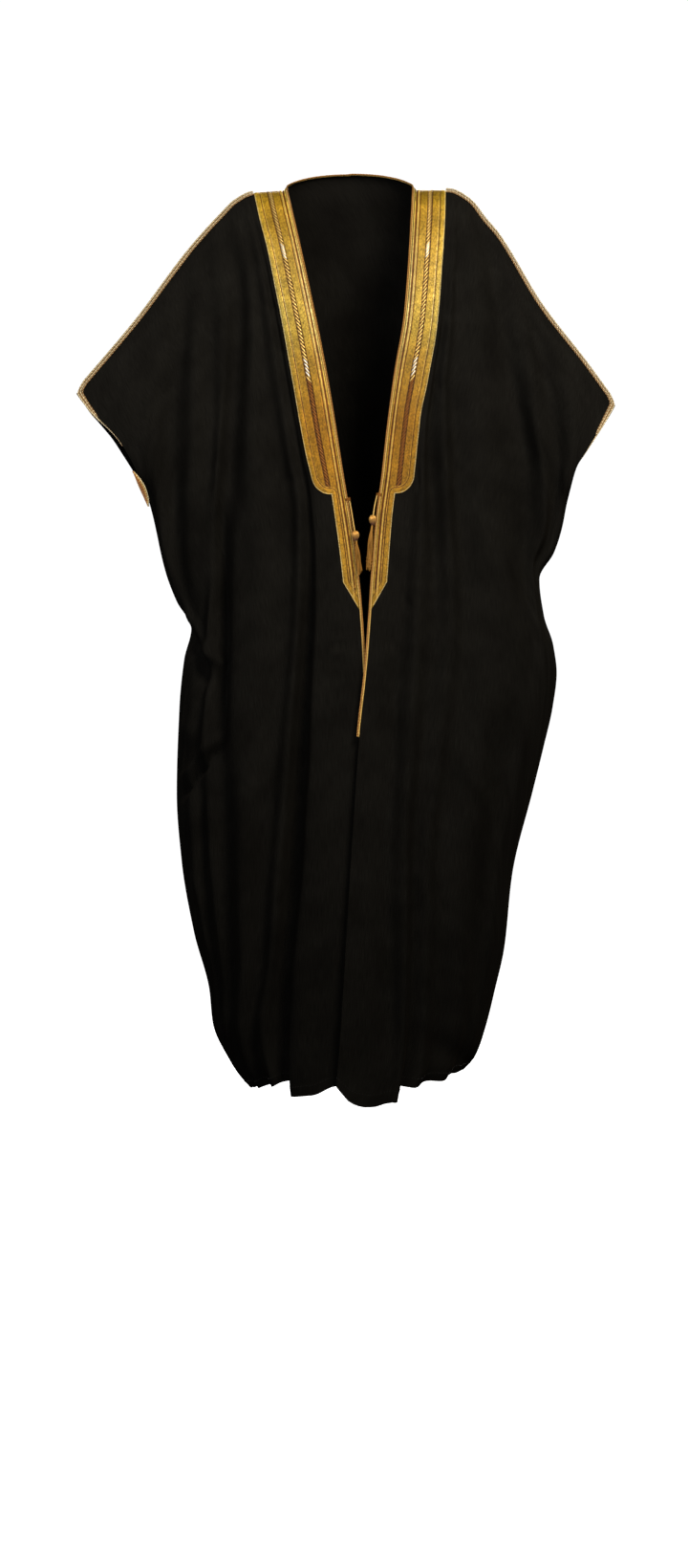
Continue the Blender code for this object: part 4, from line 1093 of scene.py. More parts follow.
def outline(along):
    """The band's width at each length."""
    past_corner = np.clip(along - (WIDE_LENGTH - CORNER), 0, CORNER)
    wide = NARROW_WIDTH + np.sqrt(CORNER ** 2 - past_corner ** 2)
    tip = NARROW_WIDTH * np.clip((BAND_LENGTH - along) / (BAND_LENGTH - TIP_START), 0, 1)
    return np.where(along < WIDE_LENGTH, wide, tip)


def inward_of(across, along):
    """Distance in from the outline."""
    beside = across - NARROW_WIDTH
    below = along - (WIDE_LENGTH - CORNER)
    round_corner = CORNER - np.hypot(np.maximum(beside, 0), np.maximum(below, 0))
    notch = np.hypot(NARROW_WIDTH - across, WIDE_LENGTH - along)
    wide = np.where(beside > 0, round_corner, np.minimum(BAND_WIDTH - across, notch))
    return np.where(along < WIDE_LENGTH, wide, outline(along) - across)


def crown(place, start, end):
    """A rounded stripe: 0 at both its sides and 1 at its middle."""
    t = np.clip((place - start) / (end - start), 0, 1)
    return np.sqrt(4 * t * (1 - t))


# Each stripe in relief: how far it stands out (+) or in (-), and its two sides.
BORDER_RELIEF = [(0.55, STITCHED_EDGE, GOLD_STRIPE), (-0.35, GOLD_STRIPE, DARK_LINE)]
INNER_RELIEF = [(0.45, 0, EDGE_COUCHING), (-0.35, EDGE_COUCHING, DARK_GROOVE),
                (0.45, DARK_GROOVE, COUCHED_CORD), (-0.35, COUCHED_CORD, INNER_LINE),
                (-0.30, BRAID_START, BRAID_END)]
ROLLED_EDGE = 0.35       # the stitched edge rolls down this far


def relief(across, inward):
    """How high the thread stands over the backing, in mm."""
    border, inside = [sum(height * crown(place, *sides) for height, *sides in stripes)
                      for place, stripes in ((inward, BORDER_RELIEF),
                                             (across, INNER_RELIEF))]
    border = border - ROLLED_EDGE * (1 - ease(inward / STITCHED_EDGE))
    return np.where(inward < BORDER_LINE, border, inside)


print("width at the shoulder and below the step:", outline(np.array([0.0, 500.0])))

# %% Places on the band, in space
BAND_COLUMNS = 56


def cells_at(places, marks):
    """The cell between marks that holds each place, and the share of the way over it."""
    where = np.interp(places, marks, np.arange(len(marks)))
    cell = np.minimum(where.astype(int), len(marks) - 2)
    return cell, where - cell


class BandSurface:
    """The cloth under a band, read at any place (across, along)."""

    def __init__(self, side):
        surface = SURFACES[side]
        corner_rows = WIDE_LENGTH - CORNER * (1 - np.sin(np.linspace(0, np.pi / 2, 16)))
        self.along = np.concatenate([
            np.array(near_shoulder) * FRONT_LENGTH,
            np.linspace(30, WIDE_LENGTH - CORNER, 170)[:-1], corner_rows,
            np.linspace(WIDE_LENGTH, BAND_LENGTH - 0.5, 80)[1:]])
        self.across = np.linspace(0, BAND_WIDTH, BAND_COLUMNS + 1)
        length_share = (self.along / FRONT_LENGTH)[:, None]
        self.grid = surface.points(length_share, self.across / BAND_WIDTH)
        self.out = facing(self.grid, surface.turn)
        self.out[0] = shoulder_out(self.grid[0])
        self.turn = surface.turn

    def read(self, across, along):
        """Points and directions at matching places."""
        i, s = cells_at(along, self.along)
        j, t = cells_at(across, self.across)
        s, t = s[..., None], t[..., None]

        def between(values):
            return blend(blend(values[i, j], values[i, j + 1], t),
                         blend(values[i + 1, j], values[i + 1, j + 1], t), s)

        return between(self.grid), unit(between(self.out))


bands = {side: BandSurface(side) for side in OUTWARD}
print("band rows:", len(bands["left"].along))

# %% [markdown]
# ## Gold thread
#
# Zari is a flat strip of gilt metal wound round a silk core.  It is a metal to
# the light, but each wound thread scatters its gleam, so the surface is rough and
# glitters in small grains.  The stripes' colours come from two ramps, one read
# along `across` and one along `inward`.

# %% Colours of the band
STRIPE_COLOURS = {"pale": "#E2CB7C", "gold": "#C4A748", "field": "#B8983A",
                  "line": "#744208", "ground": "#5C3A06"}
DESIGN_SCALE = 60.0      # the design's UV map holds mm divided by this

ACROSS_STRIPES = [(0, "pale"), (EDGE_COUCHING, "line"), (DARK_GROOVE, "pale"),
                  (COUCHED_CORD, "line"), (INNER_LINE, "field"), (BRAID_START, "ground"),
                  (BRAID_END, "field")]
INWARD_STRIPES = [(0, "pale"), (STITCHED_EDGE, "gold"), (GOLD_STRIPE, "line"),
                  (DARK_LINE, "pale")]
# How the gilt's colour runs along the band, partly wear and partly painted highlight and
# shade: each place in mm, and what is left of its colour.
GILT_WEAR_AND_HIGHLIGHT = [(0, "#FFF39B"), (50, "#E7DAA4"), (80, "#CEC7A6"), (125, "#C4C0B8"),
             (200, "#CED0D1"), (235, "#C3C2B4"), (275, "#ADA17F"), (320, "#B2A06A"),
             (365, "#AC924C"), (410, "#B1974D"), (445, "#B59C52"), (490, "#AF9655"),
             (BAND_LENGTH, "#B5A266")]
# Painted light: the band on the wearer's right, which the key light reaches less, has its
# gilt brightened: a place in X on each side, in metres, and how bright the gilt is painted
# there.
SIDES_AT = (-0.04, 0.04)
SIDES_PAINTED_LIGHT = (1.24, 1.01)
print("stripes:", len(ACROSS_STRIPES) + len(INWARD_STRIPES))

# %% Gilt zari thread
def zari_finish():
    """Couched and woven gilt thread, in stripes."""
    made, tree, shader = new_finish("gilt_zari_thread", {"Metallic": 0.72})
    design = add_node(tree, "ShaderNodeUVMap", uv_map="design")
    place = add_node(tree, "ShaderNodeSeparateXYZ", {"Vector": design})
    across, inward = [add_node(tree, "ShaderNodeValToRGB", {"Fac": place.outputs[axis]})
                      for axis in "XY"]
    for ramp, stripes in ((across, ACROSS_STRIPES), (inward, INWARD_STRIPES)):
        fill_ramp(ramp, [(start / DESIGN_SCALE, STRIPE_COLOURS[name])
                         for start, name in stripes], "CONSTANT")
    on_border = add_node(tree, "ShaderNodeMath", {
        0: place.outputs["Y"], 1: BORDER_LINE / DESIGN_SCALE}, operation="LESS_THAN")
    colour = add_node(tree, "ShaderNodeMix", {
        "Factor": on_border, 6: across, 7: inward}, data_type="RGBA")
    # Hands rub the gilt off its brown silk core, most of all low down; the same ramp also
    # paints highlight near the shoulder and on the chest, and part of the darkening low down
    # is painted shade.
    thread = add_node(tree, "ShaderNodeUVMap", uv_map="thread")
    length = add_node(tree, "ShaderNodeSeparateXYZ", {"Vector": thread})
    share = add_node(tree, "ShaderNodeMath", {
        0: length.outputs["Y"], 1: BAND_LENGTH * MM}, operation="DIVIDE")
    wear_and_highlight = add_node(tree, "ShaderNodeValToRGB", {"Fac": share})
    fill_ramp(wear_and_highlight, [(place / BAND_LENGTH, left) for place, left in GILT_WEAR_AND_HIGHLIGHT])
    # Grains: single turns of gilt strip catch the light or miss it.  They are about
    # 1 mm long, and drawn 2 mm long, so that they show.
    grains = add_node(tree, "ShaderNodeTexVoronoi", {
        "Vector": thread, "Scale": 1 / (2.0 * MM)})
    glitter = add_node(tree, "ShaderNodeMapRange", {
        "Value": grains.outputs["Color"], "To Min": 0.45, "To Max": 1.4})
    # Patches, 3 to 6 cm long, where the threads lie flatter or closer: partly random tone,
    # partly painted sheen.
    cloud = add_node(tree, "ShaderNodeTexNoise", {
        "Vector": thread, "Scale": 1 / (32 * MM), "Detail": 2.0})
    sheen_patch = add_node(tree, "ShaderNodeMapRange", {
        "Value": cloud, "From Min": 0.3, "From Max": 0.7, "To Min": 0.74, "To Max": 1.18})
    at = add_node(tree, "ShaderNodeTexCoord")
    from_middle = add_node(tree, "ShaderNodeSeparateXYZ", {"Vector": at.outputs["Object"]})
    # Painted light: the gilt is brightened by side, most on the wearer's right.
    side_painted_light = add_node(tree, "ShaderNodeMapRange", {
        "Value": from_middle.outputs["X"], "From Min": SIDES_AT[0], "From Max": SIDES_AT[1],
        "To Min": SIDES_PAINTED_LIGHT[0], "To Max": SIDES_PAINTED_LIGHT[1]})
    shade = add_node(tree, "ShaderNodeMath", {0: sheen_patch, 1: side_painted_light}, operation="MULTIPLY")
    for layer in (wear_and_highlight, glitter, shade):
        colour = add_node(tree, "ShaderNodeMix", {
            "Factor": 1.0, 6: colour, 7: layer}, data_type="RGBA", blend_type="MULTIPLY")
    rough = add_node(tree, "ShaderNodeMapRange", {
        "Value": grains, "To Min": 0.36, "To Max": 0.62})
    # Threads cross each stripe 0.35 mm apart; drawn 1.2 mm apart, so that they show.
    laid = add_node(tree, "ShaderNodeTexWave", {
        "Vector": thread, "Scale": FULL_TURN / 20 / (1.2 * MM), "Distortion": 1.5,
        "Detail": 2.0}, bands_direction="DIAGONAL")
    ribbed = add_node(tree, "ShaderNodeBump", {
        "Height": laid.outputs["Fac"], "Strength": 0.5, "Distance": 0.2 * MM})
    grainy = add_node(tree, "ShaderNodeBump", {
        "Height": grains, "Strength": 0.45, "Distance": 0.5 * MM, "Normal": ribbed})
    feed(shader, {"Base Color": colour, "Roughness": rough, "Normal": grainy})
    return made


gold_zari = zari_finish()
print("band finish:", gold_zari.name)

# %% The two front bands
def add_band(name, points, out, turn, across, inward, thread):
    """A band's shell: its thread in relief over its backing, and both UV maps."""
    height = (REST_GAP + BAND_WALL + relief(across, inward)) * MM
    design = np.stack([across, inward], axis=2) / DESIGN_SCALE
    made = add_shell(name, points + out * height[..., None],
                     points + out * REST_GAP * MM, turn,
                     {"thread": thread, "design": design}, gold_zari)
    print(name, len(made.data.polygons), "faces")
    return made


band_shells = {}
for side, band in bands.items():
    along = np.repeat(band.along[:, None], BAND_COLUMNS + 1, axis=1)
    across = outline(along) * np.linspace(0, 1, BAND_COLUMNS + 1)
    band_shells[side] = add_band(
        f"zari_band_{side}", *band.read(across, along), band.turn, across,
        inward_of(across, along), np.stack([across, along], axis=2) * MM)

# %% The neck band
NECK_BAND = 28.0         # mm wide, round the back of the neck
NECK_COLUMNS = 150

back = SURFACES["back"]
neck_c = np.linspace(BACK_NECK[0] - 1, BACK_NECK[1] + 1, NECK_COLUMNS + 1)
neck_rows = np.unique(np.concatenate([np.array(near_shoulder) * BACK_LENGTH / MM,
                                      np.arange(1, NECK_BAND + 1)]))
neck_grid = back.points(neck_rows[:, None] * MM / BACK_LENGTH, neck_c)
neck_out = facing(neck_grid, back.turn)
on_shoulder = (neck_c <= BACK_NECK[0]) | (neck_c >= BACK_NECK[1])
neck_out[0, on_shoulder] = shoulder_out(neck_grid[0, on_shoulder])
neck_across = np.repeat(neck_rows[:, None], NECK_COLUMNS + 1, axis=1)
neck_shell = add_band("zari_neck_band", neck_grid, neck_out, back.turn, neck_across,
                      NECK_BAND - neck_across, thread_lengths(neck_grid)[..., ::-1])

# %% [markdown]
# ## Stitches and twisted cords, grown along a line
#
# Hundreds of stitches and metres of cord follow a few lines, so two Geometry
# Nodes trees make them.  The first lays one small stitch again and again along a
# line, turned to the cloth under it.  The second winds strands round a line.
# Both take a plain path of edges with two attributes: `out`, square to the cloth,
# and `tone`, which the finish can read.

# %% Tree: a row of stitches
def new_tree(name, inputs):
    """An empty Geometry Nodes tree with named inputs, and its two end nodes."""
    tree = bpy.data.node_groups.new(name, "GeometryNodeTree")
    for label, kind in [("Path", "Geometry")] + inputs + [("Finish", "Material")]:
        tree.interface.new_socket(label, in_out="INPUT", socket_type=f"NodeSocket{kind}")
    tree.interface.new_socket("Pieces", in_out="OUTPUT", socket_type="NodeSocketGeometry")
    return tree, add_node(tree, "NodeGroupInput"), add_node(tree, "NodeGroupOutput")


def finish_tree(tree, start, end, geometry):
    """End a tree as every tree here ends: plain mesh, smooth, with its finish."""
    whole = add_node(tree, "GeometryNodeRealizeInstances", {"Geometry": geometry})
    shaded = add_node(tree, "GeometryNodeSetShadeSmooth", {"Geometry": whole})
    finished = add_node(tree, "GeometryNodeSetMaterial", {
        "Geometry": shaded, "Material": start.outputs["Finish"]})
    feed(end, {"Pieces": finished})


def path_lines(tree, start, spacing):
    """The path as evenly spaced points, with its direction and `out` at each."""
    line = add_node(tree, "GeometryNodeMeshToCurve", {"Mesh": start.outputs["Path"]})
    even = add_node(tree, "GeometryNodeResampleCurve", {
        "Curve": line, "Length": start.outputs[spacing]}, mode="LENGTH")
    forward = add_node(tree, "GeometryNodeInputTangent")
    out = add_node(tree, "GeometryNodeInputNamedAttribute", {
        "Name": "out"}, data_type="FLOAT_VECTOR")
    return even, forward, out


tree, start, end = new_tree("row_of_stitches", [
    ("Spacing", "Float"), ("Size", "Vector"), ("Slant", "Float"), ("Wander", "Float"),
    ("Seed", "Int")])
stitch_tree = tree
points, forward, out = path_lines(tree, start, "Spacing")
stitch = add_node(tree, "GeometryNodeMeshUVSphere", {
    "Segments": 6, "Rings": 4, "Radius": 0.5})
flat_on = add_node(tree, "FunctionNodeAlignRotationToVector", {"Vector": out}, axis="Z")
turned = add_node(tree, "FunctionNodeAlignRotationToVector", {
    "Rotation": flat_on, "Vector": forward}, axis="X", pivot_axis="Z")
wander = add_node(tree, "FunctionNodeRandomValue", {
    2: -1.0, 3: 1.0, "Seed": start.outputs["Seed"]}, data_type="FLOAT")
lean = add_node(tree, "ShaderNodeMath", {
    0: wander, 1: start.outputs["Wander"], 2: start.outputs["Slant"]},
    operation="MULTIPLY_ADD")
slant = add_node(tree, "FunctionNodeAxisAngleToRotation", {
    "Axis": (0.0, 0.0, 1.0), "Angle": lean})
laid = add_node(tree, "FunctionNodeRotateRotation", {
    "Rotation": turned, "Rotate By": slant}, rotation_space="LOCAL")
sewn = add_node(tree, "GeometryNodeInstanceOnPoints", {
    "Points": points, "Instance": stitch, "Rotation": laid, "Scale": start.outputs["Size"]})
finish_tree(tree, start, end, sewn)
print("stitch tree:", len(tree.nodes), "nodes")

# %% Tree: strands wound into a cord
tree, start, end = new_tree("wound_cord", [
    ("Step", "Float"), ("Strands", "Int"), ("Lay", "Float"), ("Pitch", "Float"),
    ("Strand Radius", "Float"), ("Sides", "Int")])
cord_tree = tree
even, forward, out = path_lines(tree, start, "Step")
copies = add_node(tree, "GeometryNodeDuplicateElements", {
    "Geometry": even, "Amount": start.outputs["Strands"]}, domain="SPLINE")
strand = copies.outputs["Duplicate Index"]
along = add_node(tree, "GeometryNodeSplineParameter")
turns = add_node(tree, "ShaderNodeMath", {
    0: along.outputs["Length"], 1: start.outputs["Pitch"]}, operation="DIVIDE")
phase = add_node(tree, "ShaderNodeMath", {
    0: strand, 1: start.outputs["Strands"]}, operation="DIVIDE")
turn_share = add_node(tree, "ShaderNodeMath", {0: turns, 1: phase})
angle = add_node(tree, "ShaderNodeMath", {
    0: turn_share, 1: FULL_TURN}, operation="MULTIPLY")
spun = add_node(tree, "ShaderNodeVectorRotate", {
    "Vector": out, "Axis": forward, "Angle": angle}, rotation_type="AXIS_ANGLE")
aside = add_node(tree, "ShaderNodeVectorMath", {
    0: spun, "Scale": start.outputs["Lay"]}, operation="SCALE")
wound = add_node(tree, "GeometryNodeSetPosition", {"Geometry": copies, "Offset": aside})
marked = add_node(tree, "GeometryNodeStoreNamedAttribute", {
    "Geometry": wound, "Name": "strand", "Value": strand}, data_type="FLOAT",
    domain="POINT")
ring = add_node(tree, "GeometryNodeCurvePrimitiveCircle", {
    "Resolution": start.outputs["Sides"], "Radius": start.outputs["Strand Radius"]},
    mode="RADIUS")
swept = add_node(tree, "GeometryNodeCurveToMesh", {
    "Curve": marked, "Profile Curve": ring, "Fill Caps": True})
finish_tree(tree, start, end, swept)
print("cord tree:", len(tree.nodes), "nodes")

# %% Growing a piece along its paths
Path = namedtuple("Path", "points out tone closed", defaults=[0.0, False])


def grow(name, tree, paths, finish, **values):
    """Run a tree on some paths and keep the plain mesh as a piece."""
    points, outs, tones, edges = [], [], [], []
    for path in paths:
        first, count = len(points), len(path.points)
        points += path.points.tolist()
        outs += path.out.ravel().tolist()
        tones += np.broadcast_to(path.tone, count).tolist()
        edges += [(first + k, first + k + 1) for k in range(count - 1)]
        if path.closed:
            edges.append((first + count - 1, first))
    mesh = bpy.data.meshes.new(f"{name}_path")
    mesh.from_pydata(points, edges, [])
    mesh.attributes.new("out", "FLOAT_VECTOR", "POINT").data.foreach_set("vector", outs)
    mesh.attributes.new("tone", "FLOAT", "POINT").data.foreach_set("value", tones)
    guide = add_object(f"{name}_path", mesh)
    modifier = guide.modifiers.new(tree.name, "NODES")
    modifier.node_group = tree
    values["Finish"] = finish
    for socket in tree.interface.items_tree:
        label = socket.name.replace(" ", "_")
        if label in values:
            modifier[socket.identifier] = values[label]
    grown = guide.evaluated_get(bpy.context.evaluated_depsgraph_get())
    made = add_object(name, bpy.data.meshes.new_from_object(grown))
    made.data.name = name
    bpy.data.objects.remove(guide)
    bpy.data.meshes.remove(mesh)
    triangles = sum(len(face.vertices) - 2 for face in made.data.polygons)
    print(name, triangles, "triangles")
    return made


# %% [markdown]
# ## Finishes for thread and cord
#
# The same gilt thread looks pale where it is new and tightly wound, and brown
# where its silk core shows.  Each finish mixes two such colours, by strand in a
# cord and by grain along a stitch.

# %% Wound gilt thread
def thread_finish(name, light, dark, metallic, by_strand=False):
    """Gilt or silvered thread: light and dark strands, or light and dark grains."""
    made, tree, shader = new_finish(name, {"Metallic": metallic, "Roughness": 0.42})
    place = add_node(tree, "ShaderNodeTexCoord")
    # Turns of gilt strip round the core, 1 mm apart.
    grain = add_node(tree, "ShaderNodeTexNoise", {
        "Vector": place.outputs["Object"], "Scale": 1 / (1.0 * MM), "Detail": 1.0})
    if by_strand:
        mark, tone = [add_node(tree, "ShaderNodeAttribute", attribute_name=label)
                      for label in ("strand", "tone")]
        share = add_node(tree, "ShaderNodeMath", {
            0: mark.outputs["Fac"], 1: 0.45, 2: tone.outputs["Fac"]},
            operation="MULTIPLY_ADD")
    else:
        share = add_node(tree, "ShaderNodeMapRange", {
            "Value": grain, "From Min": 0.35, "From Max": 0.7})
    colour = add_node(tree, "ShaderNodeMix", {
        "Factor": share, 6: linear(light), 7: linear(dark)}, data_type="RGBA")
    bump = add_node(tree, "ShaderNodeBump", {
        "Height": grain, "Strength": 0.4, "Distance": 0.3 * MM})
    feed(shader, {"Base Color": colour, "Normal": bump})
    return made


pale_thread = thread_finish("pale_gilt_thread", "#E6D9A4", "#C0A050", 0.55)
bright_thread = thread_finish("bright_gilt_thread", "#F2D27C", "#C08E2E", 0.6)
couched_thread = thread_finish("couched_gilt_thread", "#D6B45E", "#A87A26", 0.65)
brown_thread = thread_finish("tarnished_gilt_thread", "#8E560E", "#583408", 0.7)
silver_thread = thread_finish("silvered_thread", "#EDEBE4", "#B9B2A4", 0.85)
edge_thread = thread_finish("two_tone_gilt_cord", "#DDBB68", "#8E5418", 0.6, True)
# The knot's thread is painted pale at its lit top and dark at its shaded foot.
knot_thread_painted_shade = thread_finish("burnished_gilt_thread", "#E2AE58", "#46240A", 0.65, True)
strand_thread = thread_finish("loose_gilt_thread", "#B48238", "#74501C", 0.75, True)
seam_thread = thread_finish("pale_seam_cord", "#D2C49A", "#7A5428", 0.5, True)
black_thread = thread_finish("black_sewing_thread", "#0C0A08", "#060504", 0.0)
feed(black_thread.node_tree.nodes["Principled BSDF"],
     {"Specular IOR Level": 0.1})      # dyed wool, with no gloss
print("the last thread finish:", black_thread.name)

# %% [markdown]
# ## Stitching the bands
#
# Rows of stitches lie on each band: pale ones over its whole outline, slanted ones
# that wrap the couched cord, and the braid down its middle, which is bright over
# the chest, tarnished below, and silvered in two short places.

# %% The lines that the stitches follow
STITCH_LIFT = REST_GAP + BAND_WALL


def on_band(side, across, along, lift):
    """A path on a band, through places in mm, with its outward directions."""
    points, out = bands[side].read(np.asarray(across, float), np.asarray(along, float))
    return Path(points + out * lift * MM, out)


def outline_places(inset):
    """Places along the band's outline, a little inside it."""
    corner = np.linspace(0, np.pi / 2, 24)
    straight = np.linspace(0, WIDE_LENGTH - CORNER, 120)[:-1]
    narrow = np.linspace(WIDE_LENGTH + inset, TIP_START, 40)
    tip = np.linspace(TIP_START, BAND_LENGTH - 6, 16)[1:]
    across = np.concatenate([np.full(len(straight), BAND_WIDTH - inset),
                             NARROW_WIDTH + (CORNER - inset) * np.cos(corner),
                             np.full(len(narrow), NARROW_WIDTH - inset),
                             outline(tip) - inset])
    along = np.concatenate([straight,
                            WIDE_LENGTH - CORNER + (CORNER - inset) * np.sin(corner),
                            narrow, tip])
    return across, along


print("the outline is read at", len(outline_places(0)[0]), "places")

# %% Rows of stitches on both bands
# lift: over the backing.  size: a stitch's length, width and height.  All in mm, but
# slant and wander, which are in radians.
Row = namedtuple("Row", "name finish places lift spacing size slant wander")
COUCHED_MIDDLE = (DARK_GROOVE + COUCHED_CORD) / 2
BRAID_MIDDLE = (BRAID_START + BRAID_END) / 2
BRAID_CHANGE = 306.0     # the braid turns from bright to tarnished here


def straight_line(across, start, end):
    """Places down the band, from one length to another."""
    along = np.linspace(start, end, max(4, int((end - start) / 4)))
    return np.full(len(along), across), along


STITCH_ROWS = [
    Row("edge_stitches", pale_thread, outline_places(0.7), -0.2, 2.3, (2.8, 1.0, 0.9),
        0.9, 0.12),
    Row("couched_cord", couched_thread, straight_line(COUCHED_MIDDLE, 3, 644), 0.35, 2.6,
        (4.0, 1.6, 1.2), 0.7, 0.06),
    Row("braid_bright", bright_thread, straight_line(BRAID_MIDDLE, 4, BRAID_CHANGE), 0.2,
        6.7, (15.0, 2.4, 1.9), 0.5, 0.04),
    Row("braid_dark", brown_thread, straight_line(BRAID_MIDDLE, BRAID_CHANGE, BRAID_FOOT),
        0.1, 5.6, (14.0, 2.3, 1.5), 0.52, 0.06),
    Row("braid_glint_upper", silver_thread, straight_line(BRAID_MIDDLE, 95, 112), 0.9,
        5.9, (13.0, 2.0, 1.3), 0.5, 0.05),
    Row("braid_glint_lower", silver_thread, straight_line(BRAID_MIDDLE, 278, 298), 0.9,
        5.9, (13.0, 2.0, 1.3), 0.5, 0.05),
]
stitching = {}
for side in bands:
    for number, row in enumerate(STITCH_ROWS):
        name = f"{row.name}_{side}"
        path = on_band(side, *row.places, STITCH_LIFT + row.lift)
        stitching[name] = grow(
            name, stitch_tree, [path], row.finish, Spacing=row.spacing * MM,
            Size=tuple(size * MM for size in row.size), Wander=row.wander, Seed=number,
            Slant=-OUTWARD[side] * row.slant)     # the braids lean alike

# %% [markdown]
# ## Cords on the edges and seams
#
# Each bound edge carries two thin wound cords side by side, one pale and one
# brown.  They are led along the cloth's own edge points, moved off the edge in
# the plane of the cloth, so they stay beside it round every bend.

# %% Moving off an edge
CORD_RADIUS = 1.15 * MM      # one thin cord
CORD_STEP = 0.9 * MM
CORD_PITCH = 4.6 * MM
STRAND_SHARE = 0.56          # a strand's radius, as a share of its cord's
# The two cords of an edge: tone, and from the cloth's edge to the cord's middle.
CORD_PAIR = ((0.0, 1.55 * MM), (0.55, 3.75 * MM))
CORD_END = 0.62              # share of the length where the edge cords end


def off_edge(edge, out, inside):
    """Directions that leave an edge in the plane of its cloth."""
    away = unit(np.cross(np.gradient(edge, axis=0), out))
    return away * np.sign(np.sum(away * (edge - inside), axis=1, keepdims=True))


def wound_cords(name, paths, finish, radius=CORD_RADIUS, step=CORD_STEP,
                pitch=CORD_PITCH):
    """Thin cords, each wound from two strands."""
    return grow(name, cord_tree, paths, finish, Step=step, Strands=2, Lay=radius / 2,
                Pitch=pitch, Strand_Radius=radius * STRAND_SHARE, Sides=5)


print("an edge's cords reach", round((CORD_PAIR[1][1] + CORD_RADIUS) / MM, 1), "mm out")

# %% The front edges and the neck
LIFT = 0.7 * MM              # the cords lie this far out from the edge's surface
NECK_ROOM = 0.4 * MM         # and round the neck this much farther off the edge
edge_rows = rows <= CORD_END
runs = {}
for side in OUTWARD:
    c, grid, out = GRIDS[side]
    edge, facings = grid[edge_rows, 0], out[edge_rows, 0]
    runs[side] = (edge + facings * LIFT, facings,
                  off_edge(edge, facings, grid[edge_rows, 1]))

c, grid, out = GRIDS["back"]
at_neck = (c >= BACK_NECK[0]) & (c <= BACK_NECK[1])
neck = grid[0, at_neck]
down = np.gradient(grid[:4, at_neck], axis=0)[0]
neck_facing = unit(np.cross(np.gradient(neck, axis=0), down))
neck_away = off_edge(neck, neck_facing, grid[2, at_neck])

paths = []
right_edge, right_out, right_away = runs["right"]
left_edge, left_out, left_away = runs["left"]
facings = np.vstack([right_out[:0:-1], neck_facing[1:-1], left_out[1:]])
for tone, reach in CORD_PAIR:
    neck_run = neck + neck_away * (reach + NECK_ROOM)
    line = np.vstack([(right_edge + right_away * reach)[:0:-1], neck_run[1:-1],
                      (left_edge + left_away * reach)[1:]])
    paths.append(Path(line, facings, tone))
edge_cord = wound_cords("edge_cord_pair", paths, edge_thread)

# %% The shoulder seams
# Two cords stand on the seam, one above the other, and more lie on both sides.  Each
# row is given by how far down the cloth it lies, as a share of the length, by its
# height in cord radii, and by its tone.  The front rows turn the corner at the wrist
# and run on down the hand opening, narrowing, until they roll under its edge.
SEAM_RADIUS = 1.5 * MM
SEAM_STEP = 1.4 * MM
SEAM_PITCH = 5.5 * MM
PAST_BAND = 1.15             # columns from the front edge to clear the band
SEAM_LIFT = 0.3 * MM         # under the cords
TURNED_FROM = {"right": 0.070, "left": 0.088}    # share of the length
ROW_TAIL = 1.15              # the rows run on to this many times that share
TURNED_UNDER = 3.5 * MM
CORNER_TURN = 6.0 * MM
SEAM_ROWS = [("front", 0.0, 2.6, 0.0), ("front", 0.0, 1.0, 0.9),
             ("front", 0.0013, 1.0, 0.1), ("front", 0.0028, 1.0, 0.7),
             ("back", 0.0013, 1.0, 0.55), ("back", 0.0028, 1.0, 0.0)]


def seam_line(side, piece, down):
    """Points and directions beside the shoulder seam, past the band."""
    c, grid, out = GRIDS[side]
    clear = c >= PAST_BAND
    if piece == "back":
        c, grid, out = GRIDS["back"]
        clear = (c <= BACK_NECK[0] - PAST_BAND if side == "right"
                 else c >= BACK_NECK[1] + PAST_BAND)
    i, t = cells_at(down, rows)
    return (blend(grid[i], grid[i + 1], t)[clear],
            unit(blend(out[i], out[i + 1], t))[clear])


def opening_line(side, down, height):
    """The same row on the front of the hand opening, from the top down."""
    _, grid, out = GRIDS[side]
    here = (rows > down) & (rows <= TURNED_FROM[side] * ROW_TAIL)
    edge, facings = grid[here, -1], out[here, -1]
    away = off_edge(edge, facings, grid[here, -2])
    over = 1 - ease(rows[here] / TURNED_FROM[side])[:, None]
    past_edge = (height - 1) * SEAM_RADIUS - down * FRONT_LENGTH * MM
    lift = blend(-TURNED_UNDER, SEAM_RADIUS + SEAM_LIFT, over)
    return edge + away * past_edge * over + facings * lift, facings


def round_corner(first, second):
    """Join two runs of (points, facings) by a soft turn in place of the corner."""
    corner = second[0][0]
    (start, start_out), (end, end_out) = [
        [values[np.linalg.norm(line - corner, axis=1) > CORNER_TURN]
         for values in (line, facings)] for line, facings in (first, second)]
    t = np.linspace(0, 1, 7)[1:-1, None]
    turn = (1 - t) ** 2 * start[-1] + 2 * t * (1 - t) * corner + t ** 2 * end[0]
    turn_out = unit(blend(start_out[-1], end_out[0], t))
    return np.vstack([start, turn, end]), np.vstack([start_out, turn_out, end_out])


print("rows of cord beside a shoulder seam:", len(SEAM_ROWS))

# %% The cords of the shoulder seams
shoulder_cords = {}
for side in OUTWARD:
    paths = []
    for piece, down, height, tone in SEAM_ROWS:
        line, facings = seam_line(side, piece, down)
        line = line + facings * (height * SEAM_RADIUS + SEAM_LIFT)
        if piece == "front":
            line, facings = round_corner((line, facings), opening_line(side, down, height))
        paths.append(Path(line, facings, tone))
    shoulder_cords[side] = wound_cords(f"shoulder_trim_{side}", paths, seam_thread,
                                       SEAM_RADIUS, SEAM_STEP, SEAM_PITCH)

